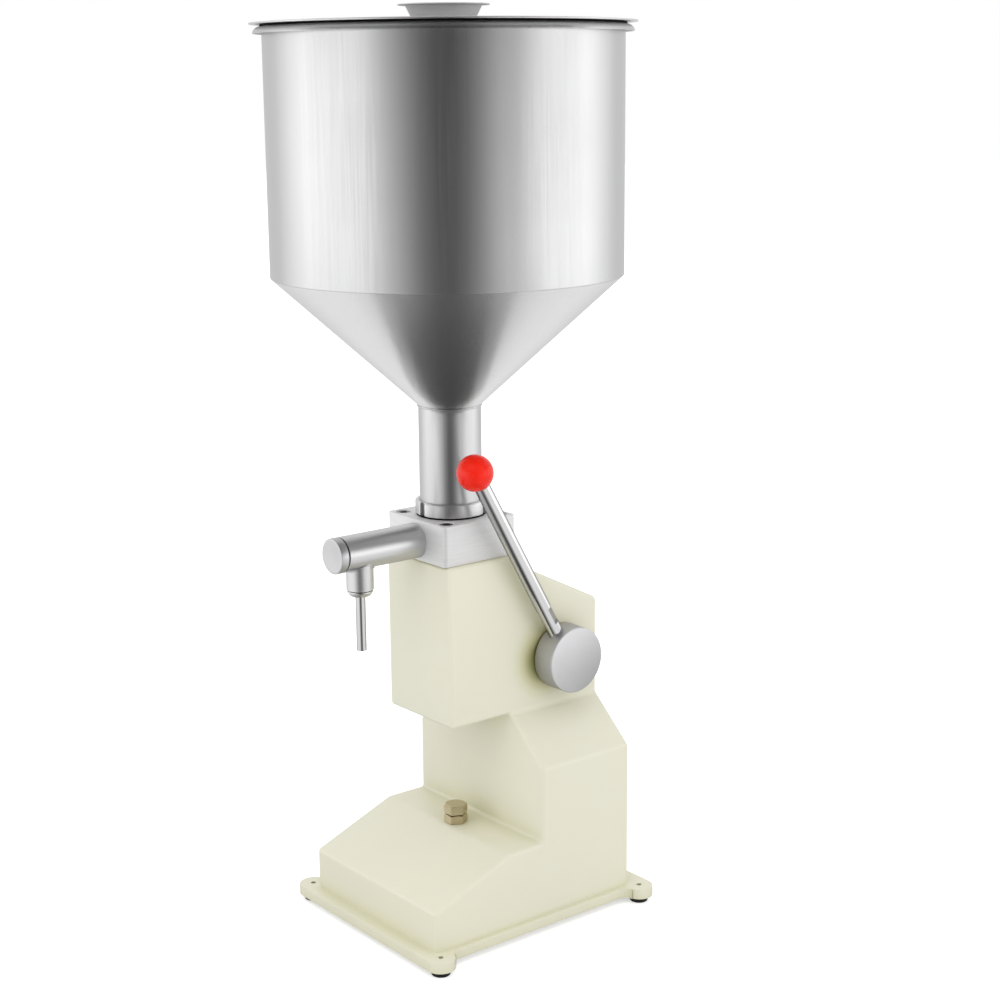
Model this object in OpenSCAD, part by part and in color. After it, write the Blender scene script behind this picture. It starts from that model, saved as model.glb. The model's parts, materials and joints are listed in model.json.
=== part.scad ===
// Manual paste filling machine: a cast stand with a hollow head, a valve block
// with its hopper on top, an outlet tube with a drop nozzle, and a hand lever
// whose fork arm drives the piston inside the head.
// X = 0, Y = 0 is the hopper's axis, the nozzle faces -Y, the lever is on +X,
// and the rubber feet stand on Z = 0. All lengths are in millimetres.

/* [Stand] */
// Width of the base and of the column behind it
base_w = 157; // [150:1:176]
// Hopper axis to the front wall of the base
base_front = 79.5; // [76:0.5:92]
// Hopper axis to the rear wall of the column and head
rear_y = 112.5; // [108:0.5:124]
// Height of the front wall's top edge above the floor
nose_h = 44.5; // [36:0.5:52]
// Height of the flat deck above the floor
deck_h = 71.5; // [70:0.5:84]
// Hopper axis to the front edge of the flat deck
deck_front = 9.6; // [9.6:0.2:20]
// Clear height between the deck and the underside of the head
gap_h = 93.8; // [86:0.2:110]
// Hopper axis to the front face of the column
column_y = 24.6; // [22:0.2:30]
// Height that the column's sloping shoulders take up
shoulder_drop = 34.3; // [24:0.5:44]
// Wall thickness of the casting
wall_t = 5; // [4:0.25:6]
// Rounding of the casting's outer edges
edge_r = 3; // [1.5:0.25:4]

/* [Foot plate and feet] */
// Thickness of the foot plate
plate_t = 8; // [6:0.5:12]
// How far the foot plate stands out beside the walls
plate_rim = 4; // [3:0.5:6]
// How far the foot plate stands out in front of the base
plate_front_lip = 11.5; // [10:0.5:16]
// How far the foot plate stands out behind the base
plate_rear_lip = 16.5; // [14:0.5:20]
// Radius of the plate's ears
ear_r = 11; // [10.5:0.5:14]
// Distance from the side wall to the middle of an ear
ear_reach = 6.5; // [5:0.5:12]
// Height of a rubber foot
foot_h = 5; // [4.5:0.5:10]
// Diameter of a rubber foot
foot_d = 16; // [14:0.5:20]

/* [Head] */
// Width of the head
head_w = 79.4; // [76:0.2:90]
// Hopper axis to the front face of the head
head_front = 32.6; // [32:0.2:40]
// Height of the head
head_h = 124.9; // [122:0.1:136]
// Depth of the step behind the valve block
step_drop = 11; // [8:0.5:14]
// Height lost from the head's top to its rear edge
slope_drop = 47.7; // [40:0.1:54]

/* [Lever] */
// Hopper axis to the lever shaft, measured along Y
shaft_y = 72.5; // [70:0.5:76]
// Underside of the head to the lever shaft
shaft_up = 38.7; // [38:0.1:42]
// Diameter of the lever shaft
shaft_d = 20; // [16:0.5:22]
// Diameter of the lever's hub
hub_d = 51.6; // [46:0.2:56]
// Width of the lever's hub
hub_w = 20; // [18:0.5:24]
// Shaft to the middle of the ball knob
lever_len = 182; // [150:1:210]
// Lean of the lever towards the front at rest, from upright
lever_tilt = 29.4; // [20:0.1:40]
// Diameter of the lever rod
rod_d = 12; // [11:0.25:14]
// Diameter of the ball knob
ball_d = 27.4; // [25:0.2:36]
// Full swing of the lever
lever_swing = 33; // [26:0.5:33]
// Rise of the fork arm over level at rest
arm_rise = 15.7; // [13:0.1:16]

/* [Piston] */
// Bore of the cylinder liner
bore_d = 39; // [38.5:0.25:41]
// Wall of the cylinder liner
liner_wall = 3.5; // [3:0.25:4]
// Height of the piston
piston_h = 15; // [14:0.5:18]
// Diameter of the piston rod's foot
stem_d = 18; // [15:0.5:19]
// How far the piston rod's foot hangs below the head at rest
stem_hang = 12.3; // [6:0.1:13]
// Diameter of the fork's cross pin
pin_d = 10; // [8:0.25:11]

/* [Valve block] */
// Width of the valve block
block_w = 72.4; // [70:0.2:76]
// Depth of the valve block
block_d = 67.4; // [65:0.2:70]
// Height of the valve block
block_h = 31.1; // [30:0.1:36]
// Spacing of the block screws across the machine
screw_x = 54; // [53:0.25:56]
// Spacing of the block screws from front to back
screw_y = 50; // [49:0.25:51]
// Thread diameter of the block screws
screw_d = 6; // [5:0.5:6]
// Diameter of the two valve balls
valve_ball_d = 16; // [14:0.25:17]
// Diameter of the holes in the two valve seats
seat_d = 11.2; // [9:0.1:12]

/* [Outlet] */
// Diameter of the outlet tube
tube_d = 26.6; // [25:0.2:28]
// Wall of the outlet tube
tube_wall = 3.3; // [2.75:0.05:3.5]
// Hopper axis to the mouth of the outlet tube
tube_reach = 101.5; // [98:0.5:110]
// Height of the outlet tube over the underside of the block
tube_up = 15; // [14.5:0.1:16]
// Thickness of the end cap's head
cap_t = 6.5; // [5:0.5:10]
// Mouth of the outlet tube to the drop nozzle's axis
drop_in = 16.5; // [15.5:0.5:24]
// Diameter of the branch that holds the nozzle
branch_d = 20.4; // [19:0.2:22]
// Outlet tube axis to the lower end of the branch
branch_len = 28.7; // [24:0.1:34]
// Outside diameter of the nozzle
nozzle_d = 7.3; // [6:0.1:9]
// Bore of the nozzle
nozzle_bore_d = 5.3; // [3.5:0.1:5.5]
// Free length of the nozzle under its holder
nozzle_len = 42.4; // [30:0.2:60]

/* [Hopper] */
// Diameter of the hopper
hopper_d = 260; // [240:2:300]
// Height of the hopper's straight wall
hopper_h = 179.1; // [150:0.1:220]
// Height of the hopper's cone
cone_h = 97.1; // [84:0.1:110]
// Diameter of the hopper's neck
neck_d = 47.2; // [46:0.2:50]
// Height of the neck above the gasket
neck_h = 82.3; // [70:0.1:100]
// Sheet thickness of the hopper
sheet_t = 1.2; // [1:0.05:2]
// Radius of the hopper's rolled rim
rim_r = 6.5; // [5:0.25:8]
// Height of the slotted ring that locks the hopper
ring_h = 10; // [8:0.5:14]
// Outside diameter of the slotted ring
ring_d = 54.2; // [53.6:0.2:58]

/* [Lid] */
// How far the lid reaches past the hopper wall
lid_over = 9; // [8.5:0.25:12]
// Sheet thickness of the lid
lid_t = 1; // [0.8:0.05:1.5]
// Height of the lid's raised middle over its edge
lid_dish = 2.2; // [2:0.1:4]
// Depth of the locating skirt below the rim
skirt_h = 9; // [6:0.5:14]
// Diameter of the lid knob's brim
knob_d = 66; // [62:0.5:72]
// Height of the lid knob
knob_h = 9; // [8:0.25:16]

/* [Stop bolt] */
// Thread diameter of the stop bolt
bolt_d = 10; // [8:0.5:12]
// Width across the flats of the bolt's head and nut
bolt_af = 16; // [15:0.25:16.5]
// Height of the bolt's head
bolt_head_h = 7; // [5:0.5:8]
// Height of the lock nut
nut_h = 7; // [5:0.5:8]
// Length of the bolt below its head
bolt_len = 70; // [50:1:72]

/* [Hidden] */
$fn = 72;

// Clearances and cutting overrun
run_gap = 0.05;      // radial gap of turning, sliding and screwed fits
seat_gap = 0.3;      // gap between parts that meet but move apart
side_gap = 0.6;      // side play in the fork
over = 1;            // how far a cutter runs past a face
arc_steps = 5;       // straight pieces in one rounded corner

// Colours
cream = [0.89, 0.88, 0.80];
steel = [0.74, 0.75, 0.76];
bright = [0.82, 0.83, 0.84];
bronze = [0.72, 0.55, 0.33];
iron = [0.42, 0.43, 0.45];
black = [0.09, 0.09, 0.09];
nickel = [0.72, 0.68, 0.60];
red = [0.93, 0.16, 0.08];

// Levels of the stand and head
half_w = base_w / 2;
head_half = head_w / 2;
plate_z = foot_h + plate_t;
head_z = deck_h + gap_h;
top_z = head_z + head_h;
shoulder_z = head_z - shoulder_drop;
head_floor_t = wall_t * 1.2;
head_top_t = wall_t * 1.6;
step_y = block_d / 2 + edge_r;
step_run = step_drop / 3;
step_z = top_z - step_drop;
rear_z = top_z - slope_drop;
nose_rise = (deck_h - nose_h) / (base_front - deck_front);
shoulder_rise = shoulder_drop / (half_w - head_half);
slope_fall = (step_z - rear_z) / (rear_y - step_y - step_run);
ear_x = half_w + ear_reach;
ear_front_y = -(base_front + plate_front_lip - ear_r);
ear_rear_y = rear_y + plate_rear_lip - ear_r;
ear_places = [
    [-ear_x, ear_front_y], [ear_x, ear_front_y], [-ear_x, ear_rear_y], [ear_x, ear_rear_y]
];
ear_blend = ear_r * 0.6;
foot_screw_d = foot_d / 4;
foot_screw_head_d = foot_screw_d * 1.9;
foot_screw_head_h = foot_h * 0.5;
foot_recess_h = foot_h * 0.6;
foot_taper = foot_d / 16;

// Lever shaft and fork arm
shaft_z = head_z + shaft_up;
shaft_r = shaft_d / 2;
bush_wall = 3;
bush_flange_t = 1.5;
bush_flange_r = shaft_r + 2 * bush_wall;
bush_r = shaft_r + bush_wall;
bearing_len = 6.7;
bearing_in = head_half - wall_t - bearing_len;
bearing_r = bush_r + wall_t;
hub_play = 0.5;
hub_in = head_half + bush_flange_t + hub_play;
hub_out = hub_in + hub_w;
hub_mid = (hub_in + hub_out) / 2;
hub_cover = 6;
shaft_right = hub_out - hub_cover;
clip_t = 1.2;
clip_x = head_half + bush_flange_t + seat_gap;
clip_groove = 1;
shaft_left = clip_x + 2 * clip_t + clip_groove;
arm_len = 2 * shaft_y / (1 + cos(arm_rise));
arm_fall = lever_swing - arm_rise;
stroke = arm_len * (sin(arm_rise) + sin(arm_fall));
pin_r = pin_d / 2;
pin_z = shaft_z + arm_len * sin(arm_rise);
pin_y = shaft_y - arm_len * cos(arm_rise);
pin_back = shaft_y - arm_len * cos(max(arm_rise, arm_fall));
pin_front = shaft_y - arm_len;
arm_hub_wall = 7;
arm_eye_wall = 4;
arm_hub_r = shaft_r + arm_hub_wall;
arm_eye_r = pin_r + arm_eye_wall;
cross_half_x = 13;
cross_wall = 6;
cross_half_z = arm_eye_r + side_gap;
cross_front = pin_r + cross_wall - pin_front;
cross_back = pin_r + cross_wall + pin_back;
tine_t = 7;
tine_side_share = 0.97;
tine_in = cross_half_x + side_gap;
tine_out = tine_in + tine_t;
arm_hub_half = bearing_in - side_gap;
web_t = arm_hub_r / 2;
web_reach = shaft_r * 3.4;
key_w = shaft_d * 0.3;
key_len = arm_hub_half * 1.1;
key_deep = key_w / 2;
clip_rim = 3;
pin_clip_r = pin_r + clip_rim;
pin_half = tine_out + clip_t + 1.5 * clip_t;

// Lever rod, measured from the shaft's axis
rod_r = rod_d / 2;
ball_r = ball_d / 2;
rod_foot = shaft_r + rod_r / 2;
ball_flat = sqrt(pow(ball_r, 2) - pow(rod_r + run_gap, 2));
rod_top = lever_len - ball_flat;
tip_step = 1;
rod_tip_r = rod_r - tip_step;
rod_tip_len = ball_r;
flat_start = hub_d / 2 + rod_r * 1.7;
flat_len = rod_d * 1.25;
flat_af = rod_d * 0.75;
flat_turn = 40;
hub_edge = 1;
grub_r = 3;
grub_sink = 2;
grub_socket_share = 0.57;
grub_len = hub_d / 2 - shaft_r - grub_sink;

// Piston, cylinder and rod
bore_r = bore_d / 2;
piston_r = bore_r - run_gap;
liner_r = bore_r + liner_wall;
liner_flange_w = 5;
liner_flange_r = liner_r + liner_flange_w;
liner_flange_t = 4;
piston_top = top_z - 4 * seat_gap;
liner_low = pin_z + max(arm_eye_r, cross_half_z) + 2 * seat_gap;
ring_sec = 1.5;
ring_play = 0.2;
ring_groove = 2 * ring_sec + ring_play;
ring_deep = 2 * ring_sec + run_gap;
ring_place_shares = [0.28, 0.66];
stem_r = stem_d / 2;
stem_low = head_z - stem_hang;
stem_step = 1;
rod_upper_r = stem_r - stem_step;
spigot_r = 5;
spigot_len = piston_h * 0.65;
rod_bush_r = stem_r + bush_wall;
rod_bush_flange_r = rod_bush_r + bush_wall;

// Valve block
block_top = top_z + block_h;
block_corner = 2.2;
screw_r = screw_d / 2;
screw_head_r = screw_d * 0.83;
screw_sink = 0.5;
screw_well_gap = 0.5;
screw_hole_r = screw_r + seat_gap;
screw_well_r = screw_head_r + screw_well_gap;
screw_len = block_h - screw_sink + 1.5 * screw_d;
socket_af = screw_d * 0.83;
boss_wall = 4;
boss_r = screw_r + boss_wall;
boss_h = screw_d * 3.5;
spider_t = 3;
spider_land = 3;
spider_r = bore_r + spider_land;
spider_rim = 6;
spider_hub_r = 6.5;
spider_arm_w = 4;
seal_sec = 1;
seal_wall = 1.6;
seal_mid_r = spider_r + seal_wall + seal_sec;
seat_plate_t = 3;
ferrule_len = 5;
ferrule_step = 2.6;
ferrule_r = neck_d / 2 - ferrule_step;
socket_r = ferrule_r + run_gap;
seat_top = block_top - ferrule_len;
seat_low = seat_top - seat_plate_t;
chamber_gap = 7;
chamber_r = valve_ball_d / 2 + chamber_gap;
valve_r = valve_ball_d / 2;
seat_r = seat_d / 2;
ball_off = sqrt(pow(valve_r, 2) - pow(seat_r, 2)) + seat_gap;
inlet_ball_z = seat_low - ball_off;
valve_lift = 3.5;

// Outlet
tube_r = tube_d / 2;
tube_bore_r = tube_r - tube_wall;
tube_z = top_z + tube_up;
spigot_step = 1.3;
tube_socket = 9.7;
tube_spigot_r = tube_r - spigot_step;
tube_in = block_d / 2 - tube_socket;
drop_y = tube_reach - drop_in;
tube_seat_t = 4;
port_step = 2.4;
port_r = seat_r + port_step;
outlet_ball_y = tube_in + tube_seat_t + ball_off;
cap_seal_t = 1;
cap_seal_inset = 0.9;
cap_seal_r = tube_r - cap_seal_inset;
cap_front = tube_reach + cap_seal_t + cap_t;
cap_spigot_r = tube_bore_r - run_gap;
cap_spigot_len = 5.5;
cap_edge = 0.8;
branch_r = branch_d / 2;
branch_z = tube_z - branch_len;
holder_step = 0.6;
funnel_w = 2;
holder_r = branch_r - holder_step;
holder_thread_r = branch_r * 0.69;
holder_seal_t = 0.5;
holder_flange_t = 4;
holder_z = branch_z - holder_seal_t - holder_flange_t;
holder_top = branch_z + branch_r;
nozzle_r = nozzle_d / 2;
nozzle_bore_r = nozzle_bore_d / 2;
nozzle_root_share = 0.4;
nozzle_relief = (nozzle_r - nozzle_bore_r) * nozzle_root_share;
nozzle_root_r = nozzle_r - nozzle_relief;
nozzle_z = holder_z - nozzle_len;
nozzle_top = holder_top - holder_flange_t;

// Springs
wire_r = 0.5;
inlet_coil_r = valve_r / 2;
coil_gap = 2;
outlet_coil_r = tube_bore_r - 3 * wire_r - coil_gap;
coil_sides = 6;
coil_rings = 8;
inlet_turns = 3.5;
outlet_turns = 9;

// Hopper and ring
gasket_t = 1.2;
gasket_r = ring_d / 2 - 0.8;
ring_z = block_top + gasket_t;
cone_z = ring_z + neck_h;
wall_z = cone_z + cone_h;
rim_z = wall_z + hopper_h;
hopper_r = hopper_d / 2;
neck_r = neck_d / 2;
neck_t = sheet_t * 1.25;
ferrule_wall = 3;
ferrule_bore_r = ferrule_r - ferrule_wall;
ferrule_h = 3.5;
cone_run = hopper_r - neck_r;
cone_rise = cone_h / cone_run;
cone_lift = sheet_t * norm([1, cone_rise]);
wall_seam = [hopper_r - sheet_t, wall_z + cone_lift - sheet_t * cone_rise];
neck_seam = [neck_r - neck_t, cone_z + cone_lift - neck_t * cone_rise];
slot_w = 5.5;
slot_deep = 2.2;
slot_count = 4;
slot_turn = 13;
ring_edge = 0.8;

// Lid and knob
seal_h = 3.3;
lid_r = hopper_r + lid_over;
lid_edge_z = rim_z + seat_gap + seal_h - lid_dish;
lid_top = lid_edge_z + lid_dish + lid_t;
lid_step = 3.4;
skirt_gap = 1;
seal_reach = 1;
lid_step_r = hopper_r + lid_step;
skirt_r = hopper_r - sheet_t - skirt_gap;
seal_out_r = hopper_r + seal_reach;
knob_r = knob_d / 2;
knob_foot_r = knob_r * 0.67;
knob_neck_r = knob_r * 0.84;
knob_t = 1;
knob_screw_r = 2.5;
knob_screw_head_r = 5;
knob_screw_head_h = 2.4;

// Stop bolt
bolt_r = bolt_d / 2;
hex_r = bolt_af / 2 / cos(30);
nut_z = deck_h;
head_play = 0.8;
bolt_head_z = nut_z + nut_h + head_play;
bolt_boss_wall = 6;
bolt_boss_r = bolt_r + bolt_boss_wall;
bolt_boss_h = bolt_d * 1.2;

// Unit vector
function unit(v) = v / norm(v);

// Points of the arc that rounds corner b of the path a, b, c
function corner(a, b, c, r) = r == 0 ? [b] :
    let (
        u = unit(a - b),
        w = unit(c - b),
        half = acos(u * w) / 2,
        mid = b + unit(u + w) * r / sin(half),
        p = b + u * r / tan(half) - mid,
        q = b + w * r / tan(half) - mid,
        start = atan2(p.y, p.x),
        turn = (atan2(q.y, q.x) - start + 540) % 360 - 180
    )
    [for (i = [0:arc_steps]) let (a = start + turn * i / arc_steps) mid + r * [cos(a), sin(a)]];

// Closed outline whose corners are rounded by the matching radii
function rounded(points, radii) = let (n = len(points)) [
    for (i = [0:n - 1]) each corner(points[(i + n - 1) % n], points[i], points[(i + 1) % n], radii[i])
];

// Quarter or other arc about a centre, in a revolved outline
function arc(centre, r, from, to) = [
    for (i = [0:arc_steps]) let (a = from + (to - from) * i / arc_steps) centre + r * [cos(a), sin(a)]
];

// Extrude a Y-Z outline across the machine, centred on X = 0
module across(width) {
    rotate([90, 0, 90]) translate([0, 0, -width / 2]) linear_extrude(width) children();
}

// Extrude an X-Z outline from front to back
module front_to_back(from, to) {
    translate([0, to, 0]) rotate([90, 0, 0]) linear_extrude(to - from) children();
}

// Cylinder along X from one place to another, at the lever shaft's height and depth
module on_shaft(r, from, to) {
    translate([from, shaft_y, shaft_z]) rotate([0, 90, 0]) cylinder(h = to - from, r = r);
}

// Cylinder along -Y at the outlet tube's height, from one distance in front of the hopper axis to another
module on_tube(r, from, to) {
    translate([0, -from, tube_z]) rotate([90, 0, 0]) cylinder(h = to - from, r = r);
}

// Place children in the lever's frame: Z runs from the shaft to the knob
module along_lever() {
    translate([hub_mid, shaft_y, shaft_z]) rotate([lever_tilt, 0, 0]) children();
}

// Hexagonal prism that stands on Z = 0
module hexagon(r, h) {
    cylinder(h = h, r = r, $fn = 6);
}

// One rectangle with rounded corners, from its lowest to its highest corner
module round_rect(low, high, r) {
    polygon(rounded([low, [high.x, low.y], high, [low.x, high.y]], [r, r, r, r]));
}

// Distance from a valve ball's centre to the end of the coil that presses on it, at the middle of a chord
function coil_off(coil_r) =
    sqrt(pow(valve_r + wire_r + run_gap, 2) - pow(coil_r * cos(180 / coil_rings), 2)) - wire_r;

// Wire coil along Z, from one height to another
module coil(mid_r, from, to, turns) {
    count = round(turns * coil_rings);
    rise = to - from - 2 * wire_r;
    points = [
        for (i = [0:count]) let (a = 360 * i / coil_rings, z = from + wire_r + rise * i / count)
            for (j = [0:coil_sides - 1]) let (b = 360 * j / coil_sides)
                [(mid_r + wire_r * cos(b)) * cos(a), (mid_r + wire_r * cos(b)) * sin(a), z + wire_r * sin(b)]
    ];
    sides = [
        for (i = [0:count - 1], j = [0:coil_sides - 1]) let (k = (j + 1) % coil_sides, n = coil_sides)
            each [[i * n + j, (i + 1) * n + j, (i + 1) * n + k], [i * n + j, (i + 1) * n + k, i * n + k]]
    ];
    first = [for (j = [0:coil_sides - 1]) j];
    last = [for (j = [coil_sides - 1:-1:0]) count * coil_sides + j];
    polyhedron(points, concat(sides, [first, last]));
}

// Side outline of the whole casting, without its foot plate
module casting_side() {
    polygon(rounded(
        [
            [-base_front, foot_h], [-base_front, nose_h], [-deck_front, deck_h], [column_y, deck_h],
            [column_y, head_z], [-head_front, head_z], [-head_front, top_z], [step_y, top_z],
            [step_y + step_run, step_z], [rear_y, rear_z], [rear_y, foot_h]
        ],
        [0, edge_r, edge_r, edge_r, edge_r / 2, edge_r, edge_r / 2, edge_r / 2, edge_r, edge_r, 0]
    ));
}

// Front outline of the whole casting, without its foot plate
module casting_front() {
    polygon(rounded(
        [
            [-half_w, foot_h], [-half_w, shoulder_z], [-head_half, head_z], [-head_half, top_z],
            [head_half, top_z], [head_half, head_z], [half_w, shoulder_z], [half_w, foot_h]
        ],
        [0, edge_r, edge_r, edge_r / 2, edge_r / 2, edge_r, edge_r, 0]
    ));
}

// Plan outlines that round the casting's upright edges
module casting_plan() {
    translate([0, 0, foot_h]) linear_extrude(head_z - foot_h)
        round_rect([-half_w, -base_front], [half_w, rear_y], edge_r);
    translate([0, 0, head_z]) linear_extrude(head_h)
        round_rect([-head_half, -head_front], [head_half, rear_y], edge_r);
}

// Cutter that rounds the right upright front edge of the column
module column_edge() {
    height = shoulder_z - deck_h - 2 * edge_r;
    translate([half_w - edge_r, column_y, deck_h + edge_r]) difference() {
        translate([0, -over, 0]) cube([edge_r + over, edge_r + over, height]);
        translate([0, edge_r, -over]) cylinder(h = height + 2 * over, r = edge_r);
    }
}

// Foot plate with its four ears
module foot_plate() {
    front = -(base_front + plate_front_lip);
    back = rear_y + plate_rear_lip;
    side = half_w + plate_rim;
    translate([0, 0, foot_h]) linear_extrude(plate_t) {
        translate([-side, front]) square([2 * side, back - front]);
        for (p = ear_places) {
            translate(p) circle(r = ear_r);
            translate([min(p.x, 0), p.y - ear_r]) square([abs(p.x), 2 * ear_r]);
            sy = p.y > 0 ? -1 : 1;
            sx = p.x > 0 ? 1 : -1;
            translate([sx * side, p.y + sy * ear_r]) difference() {
                translate([min(sx, 0) * ear_blend, min(sy, 0) * ear_blend]) square(ear_blend);
                translate([sx * ear_blend, sy * ear_blend]) circle(r = ear_blend);
            }
        }
    }
}

// Hollow inside the casting, open underneath
module casting_hollow() {
    in_x = half_w - wall_t;
    head_in = head_half - wall_t;
    roof = shoulder_z - wall_t * norm([1, shoulder_rise]);
    nose_in = nose_h - wall_t * norm([1, nose_rise]) + wall_t * nose_rise;
    slope_in = wall_t * norm([1, slope_fall]);
    step_in = step_y - wall_t;
    intersection() {
        across(base_w) polygon([
            [-base_front + wall_t, foot_h - over], [-base_front + wall_t, nose_in],
            [-deck_front, deck_h - wall_t], [column_y + wall_t, deck_h - wall_t],
            [column_y + wall_t, head_z + head_floor_t], [-head_front + wall_t, head_z + head_floor_t],
            [-head_front + wall_t, top_z - head_top_t], [step_in, top_z - head_top_t],
            [step_in, step_z - slope_in], [rear_y - wall_t, rear_z - slope_in + wall_t * slope_fall],
            [rear_y - wall_t, foot_h - over]
        ]);
        front_to_back(-base_front, rear_y) polygon([
            [-in_x, foot_h - over], [-in_x, roof + wall_t * shoulder_rise],
            [-head_in, roof + (half_w - head_in) * shoulder_rise], [-head_in, top_z],
            [head_in, top_z], [head_in, roof + (half_w - head_in) * shoulder_rise],
            [in_x, roof + wall_t * shoulder_rise], [in_x, foot_h - over]
        ]);
    }
}

// Outline of one boss for a block screw, joined to the walls beside it
module screw_boss(front) {
    to_side = head_half - wall_t / 2 - screw_x / 2;
    to_front = head_front - wall_t / 2 - screw_y / 2;
    translate([screw_x / 2, front ? -screw_y / 2 : screw_y / 2]) {
        circle(r = boss_r);
        translate([0, -boss_r]) square([to_side, 2 * boss_r]);
        if (front) translate([-boss_r, -to_front]) square([boss_r + to_side, to_front]);
    }
}

// Bosses cast inside the hollow
module casting_bosses() {
    translate([0, 0, top_z - head_top_t - boss_h / 2])
        cylinder(h = head_top_t / 2 + boss_h / 2, r = liner_flange_r);
    for (side = [0, 1]) mirror([side, 0, 0]) {
        translate([0, 0, top_z - head_top_t - boss_h]) linear_extrude(boss_h + head_top_t / 2) {
            screw_boss(true);
            screw_boss(false);
        }
        on_shaft(bearing_r, bearing_in, head_half - wall_t / 2);
    }
    translate([0, 0, deck_h - wall_t - bolt_boss_h]) cylinder(h = bolt_boss_h + wall_t / 2, r = bolt_boss_r);
}

// Machined bores of the casting
module casting_bores() {
    translate([0, 0, top_z - boss_h - head_top_t - over])
        cylinder(h = boss_h + head_top_t + 2 * over, r = liner_r + run_gap);
    translate([0, 0, top_z - liner_flange_t])
        cylinder(h = liner_flange_t + over, r = liner_flange_r + run_gap);
    for (x = [-1, 1], y = [-1, 1])
        translate([x * screw_x / 2, y * screw_y / 2, top_z - head_top_t - boss_h + screw_r])
            cylinder(h = boss_h + head_top_t, r = screw_r + run_gap);
    for (side = [0, 1]) mirror([side, 0, 0]) on_shaft(bush_r + run_gap, bearing_in - over, head_half + over);
    translate([0, 0, head_z - over]) cylinder(h = head_floor_t + 2 * over, r = rod_bush_r + run_gap);
    translate([0, 0, deck_h - wall_t - bolt_boss_h - over])
        cylinder(h = wall_t + bolt_boss_h + 2 * over, r = bolt_r + run_gap);
    for (p = ear_places)
        translate([p.x, p.y, foot_h - over]) cylinder(h = plate_t + 2 * over, r = foot_screw_d / 2 + run_gap);
}

module body_casting() color(cream) difference() {
    union() {
        difference() {
            union() {
                intersection() {
                    across(base_w + over) casting_side();
                    front_to_back(-base_front - over, rear_y + over) casting_front();
                    casting_plan();
                }
                foot_plate();
            }
            casting_hollow();
            for (side = [0, 1]) mirror([side, 0, 0]) column_edge();
        }
        casting_bosses();
    }
    casting_bores();
}

// Rubber foot under one ear, with the recess for its screw
module rubber_foot(place) color(black) translate([place.x, place.y, 0]) difference() {
    rotate_extrude() polygon([[0, 0], [foot_d / 2 - foot_taper, 0], [foot_d / 2, foot_h], [0, foot_h]]);
    translate([0, 0, -over]) cylinder(h = foot_h + 2 * over, r = foot_screw_d / 2 + run_gap);
    translate([0, 0, -over]) cylinder(h = foot_recess_h + over, r = foot_screw_head_d / 2 + seat_gap);
}

// Screws that hold the feet, each with its head in the foot's recess
module foot_screws() color(nickel) for (p = ear_places)
    translate([p.x, p.y, foot_recess_h - foot_screw_head_h]) {
        cylinder(h = foot_screw_head_h, r = foot_screw_head_d / 2);
        cylinder(h = foot_h - foot_recess_h + foot_screw_head_h + plate_t * 0.8, r = foot_screw_d / 2);
    }

module valve_block() color(bright) difference() {
    translate([0, 0, top_z]) linear_extrude(block_h) polygon([
        for (p = [[1, 1], [-1, 1], [-1, -1], [1, -1]]) let (
            q = [p.x * block_w / 2, p.y * block_d / 2],
            a = q - [p.x * block_corner, 0],
            b = q - [0, p.y * block_corner]
        ) each p.x * p.y > 0 ? [b, a] : [a, b]
    ]);
    translate([0, 0, seat_low]) cylinder(h = block_top - seat_low + over, r = socket_r);
    translate([0, 0, top_z - over]) cylinder(h = block_h, r = chamber_r);
    translate([0, 0, top_z - over]) cylinder(h = spider_t + run_gap + over, r = spider_r + run_gap);
    translate([0, 0, top_z - over]) difference() {
        cylinder(h = 2 * seal_sec + run_gap + over, r = seal_mid_r + seal_sec + run_gap);
        cylinder(h = 2 * seal_sec + over + over, r = seal_mid_r - seal_sec - run_gap);
    }
    on_tube(tube_spigot_r + run_gap, tube_in, block_d / 2 + over);
    on_tube(port_r, 0, block_d / 2);
    for (x = [-1, 1], y = [-1, 1]) translate([x * screw_x / 2, y * screw_y / 2, top_z - over]) {
        cylinder(h = block_h + 2 * over, r = screw_hole_r);
        translate([0, 0, block_h - screw_d - screw_sink + over])
            cylinder(h = screw_d + screw_sink + over, r = screw_well_r);
    }
}

module block_screws() color(steel) for (x = [-1, 1], y = [-1, 1])
    translate([x * screw_x / 2, y * screw_y / 2, block_top - screw_sink - screw_d]) difference() {
        union() {
            cylinder(h = screw_d, r = screw_head_r);
            translate([0, 0, -screw_len]) cylinder(h = screw_len + over, r = screw_r);
        }
        translate([0, 0, screw_d / 2]) hexagon(socket_af / 2 / cos(30), screw_d);
    }

module cylinder_liner() color(bright) difference() {
    union() {
        translate([0, 0, liner_low]) cylinder(h = top_z - liner_low, r = liner_r);
        translate([0, 0, top_z - liner_flange_t]) cylinder(h = liner_flange_t, r = liner_flange_r);
    }
    translate([0, 0, liner_low - over]) cylinder(h = top_z - liner_low + 2 * over, r = bore_r);
}

module liner_seal() color(black) translate([0, 0, top_z + seal_sec]) rotate_extrude()
    translate([seal_mid_r, 0]) circle(r = seal_sec, $fn = 24);

// Spider clamped over the liner, on which the inlet spring stands
module spring_seat() color(steel) translate([0, 0, top_z]) {
    difference() {
        cylinder(h = spider_t, r = spider_r);
        translate([0, 0, -over]) cylinder(h = spider_t + 2 * over, r = spider_r - spider_rim);
    }
    cylinder(h = spider_t, r = spider_hub_r);
    for (a = [30, 150, 270]) rotate(a) translate([0, -spider_arm_w / 2, 0])
        cube([spider_r - spider_rim / 2, spider_arm_w, spider_t]);
}

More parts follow.
